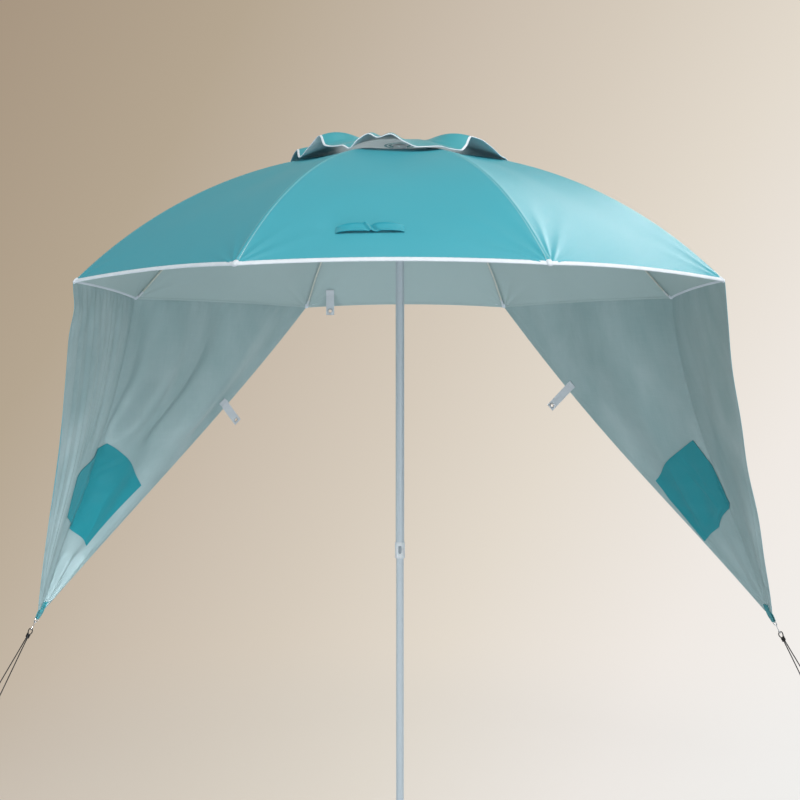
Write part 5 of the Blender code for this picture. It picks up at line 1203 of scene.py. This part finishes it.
def makeCornerTabs():
    # one strip from the wing's outer face round the ring and back along its inner face
    free, width, point = ringTab["free"], ringTab["width"], shelter["cornerWidth"]
    gap = shelter["wingCloth"] / 2 + tab["thick"] / 2 + ringTab["clear"]
    turn = ringTab["wire"] * 1.5 + tab["thick"] / 2 + ringTab["slack"]
    across = np.linspace(-0.5, 0.5, ringTab["columns"])
    for side in ("left", "right"):
        normal = wingNormal(side, np.array([0.5]), np.array([0.97]))[0]
        normal *= np.sign(normal @ (onLine(side, [(0, 1, 0)])[0] - wingTip(side)))
        hem = np.linalg.norm(wingSurface(side, 1, 0) - wingSurface(side, 0, 0))
        length = np.linalg.norm(wingSurface(side, 0.5, 0) - wingSurface(side, 0.5, 1))

        def sewn(back, sign):           # a line across the wing's cloth, so far back from its point
            here = point + (hem - point) * back / length
            return wingSurface(side, 0.5 - across * width / here, 1 - back / length) + sign * gap * normal

        def loose(along, height, wide):     # a line past the point; at the neck it follows the ring's curve
            spread = across * wide
            curve = ringTab["ring"] - np.sqrt(ringTab["ring"] ** 2 - spread ** 2) if wide < width else 0
            return onLine(side, np.stack([along + curve + 0 * across, height + 0 * across, spread], axis=1))

        def leg(sign):
            return [sewn(ringTab["grip"] * share, sign) for share in (1, 0.5)] + [
                sewn(0.001, sign), loose(free * 0.4, sign * turn, width)]

        bend = [loose(free + turn * sin(a), turn * cos(a), ringTab["neck"])
                for a in np.radians(np.linspace(0, 180, 9))]
        lines = softPath(np.array(leg(1) + bend + leg(-1)[::-1]), ringTab["steps"])
        face = gridNormals(lines) * tab["thick"] / 2
        uv = pairs(across[None, :] * width, pathLength(lines[:, ringTab["columns"] // 2])[:, None])
        piece = closedSheet(f"{side}_ring_tab", lines + face, lines - face, uv, [cloths["tealWebbing"]], 40)
        hangOnWing(piece, side, f"{side}_corner_tab")


# closure strap: folded band on the front gore
strap = dict(
    x=(-0.150, 0.030), fromHem=0.135, width=0.029, thick=0.0016, wave=0.00595, curl=0.0030, clear=0.0009,
    columns=161, rows=31, dip=(0.53, 0.06), twist=(0.49, 0.05),
    # ridges: height, place, slant and width; and rolled borders: height, place and width
    ridges=((0.0052, 0.47, 0.10, 0.022), (-0.0036, 0.55, 0.12, 0.030)),
    rolls=((0.0036, -0.42, 0.07), (0.0020, 0.42, 0.07)),
)


def makeStrap():                        # the canopy's own face between two heights, raised by the band's waves
    x = np.linspace(*strap["x"], strap["columns"])
    share = (x - x[0]) / (x[-1] - x[0])
    across = np.linspace(-0.5, 0.5, strap["rows"])[:, None]
    g = 5 + np.linspace(0.001, 0.999, 241)[None, :]
    base = []
    for t in 1 - strap["fromHem"] / goreLength + across[:, 0] * strap["width"] / goreLength:
        line = canopySurface(np.array([[t - 0.001], [t]]), g)[1]
        base.append(alongPath(x, line[:, 0], line))
    base = np.array(base)
    normal = gridNormals(base)
    normal *= np.sign(normal[..., 2:])
    # lifted in a wave that dips at a twist, its upper edge curled, with a ridge and a rolled border
    wave = strap["wave"] * (1 - (2 * share - 1) ** 8) * (1 - 0.5 * hump(share, *strap["dip"]))
    upper = 0.5 - across
    curl = strap["curl"] * (upper * np.sin(pi * share) + upper ** 2 * np.sin(2 * pi * share) ** 2)
    ridge = sum(size * hump(share, at + slant * across, width) for size, at, slant, width in strap["ridges"])
    roll = sum(size * hump(across, at, width) for size, at, width in strap["rolls"])
    roll = roll * (1 - hump(share, *strap["twist"]))    # none where it twists
    lift = strap["clear"] + wave + curl + (ridge + roll) * np.sin(pi * share) ** 0.4
    low = base + normal * lift[..., None]
    uv = pairs(share[None, :] * (x[-1] - x[0]), across * strap["width"])
    piece = closedSheet("folded_closure_strap", low + normal * strap["thick"], low, uv, [cloths["strap"]])
    foldUp(piece, 5, "closure_strap")


makeTabs()
makeCornerTabs()
makeStrap()
print("tabs, eyelets and strap made")


# finishes of the pieces kept from the CAD
kept = dict(
    tube=["lower_pole", "upper_pole"],
    button=["collar_button"],
    abs=["pole_collar", "crown", "cap_nut", "runner"] + [f"rib_tip_{k}" for k in range(1, 9)],
    rod=[f"rib_{k}" for k in range(1, 9)],
    zinc=["crown_wire", "runner_catch", "left_corner_ring", "right_corner_ring", "left_wire_hook",
          "right_wire_hook"] + [f"stretcher_{k}" for k in range(1, 9)],
    galvanised=["left_ground_peg", "right_ground_peg"],
    nylon=["sand_spike", "left_line_slider", "right_line_slider"],
)


def finishFrame():                      # each kept node gets its finish in every material slot, or in a new one
    for finishName, names in kept.items():
        for name in names:
            node = nodes[name]
            if not node.data.materials:
                node.data.materials.append(hard[finishName])
            for i in range(len(node.data.materials)):
                node.data.materials[i] = hard[finishName]


finishFrame()
print("frame finished")
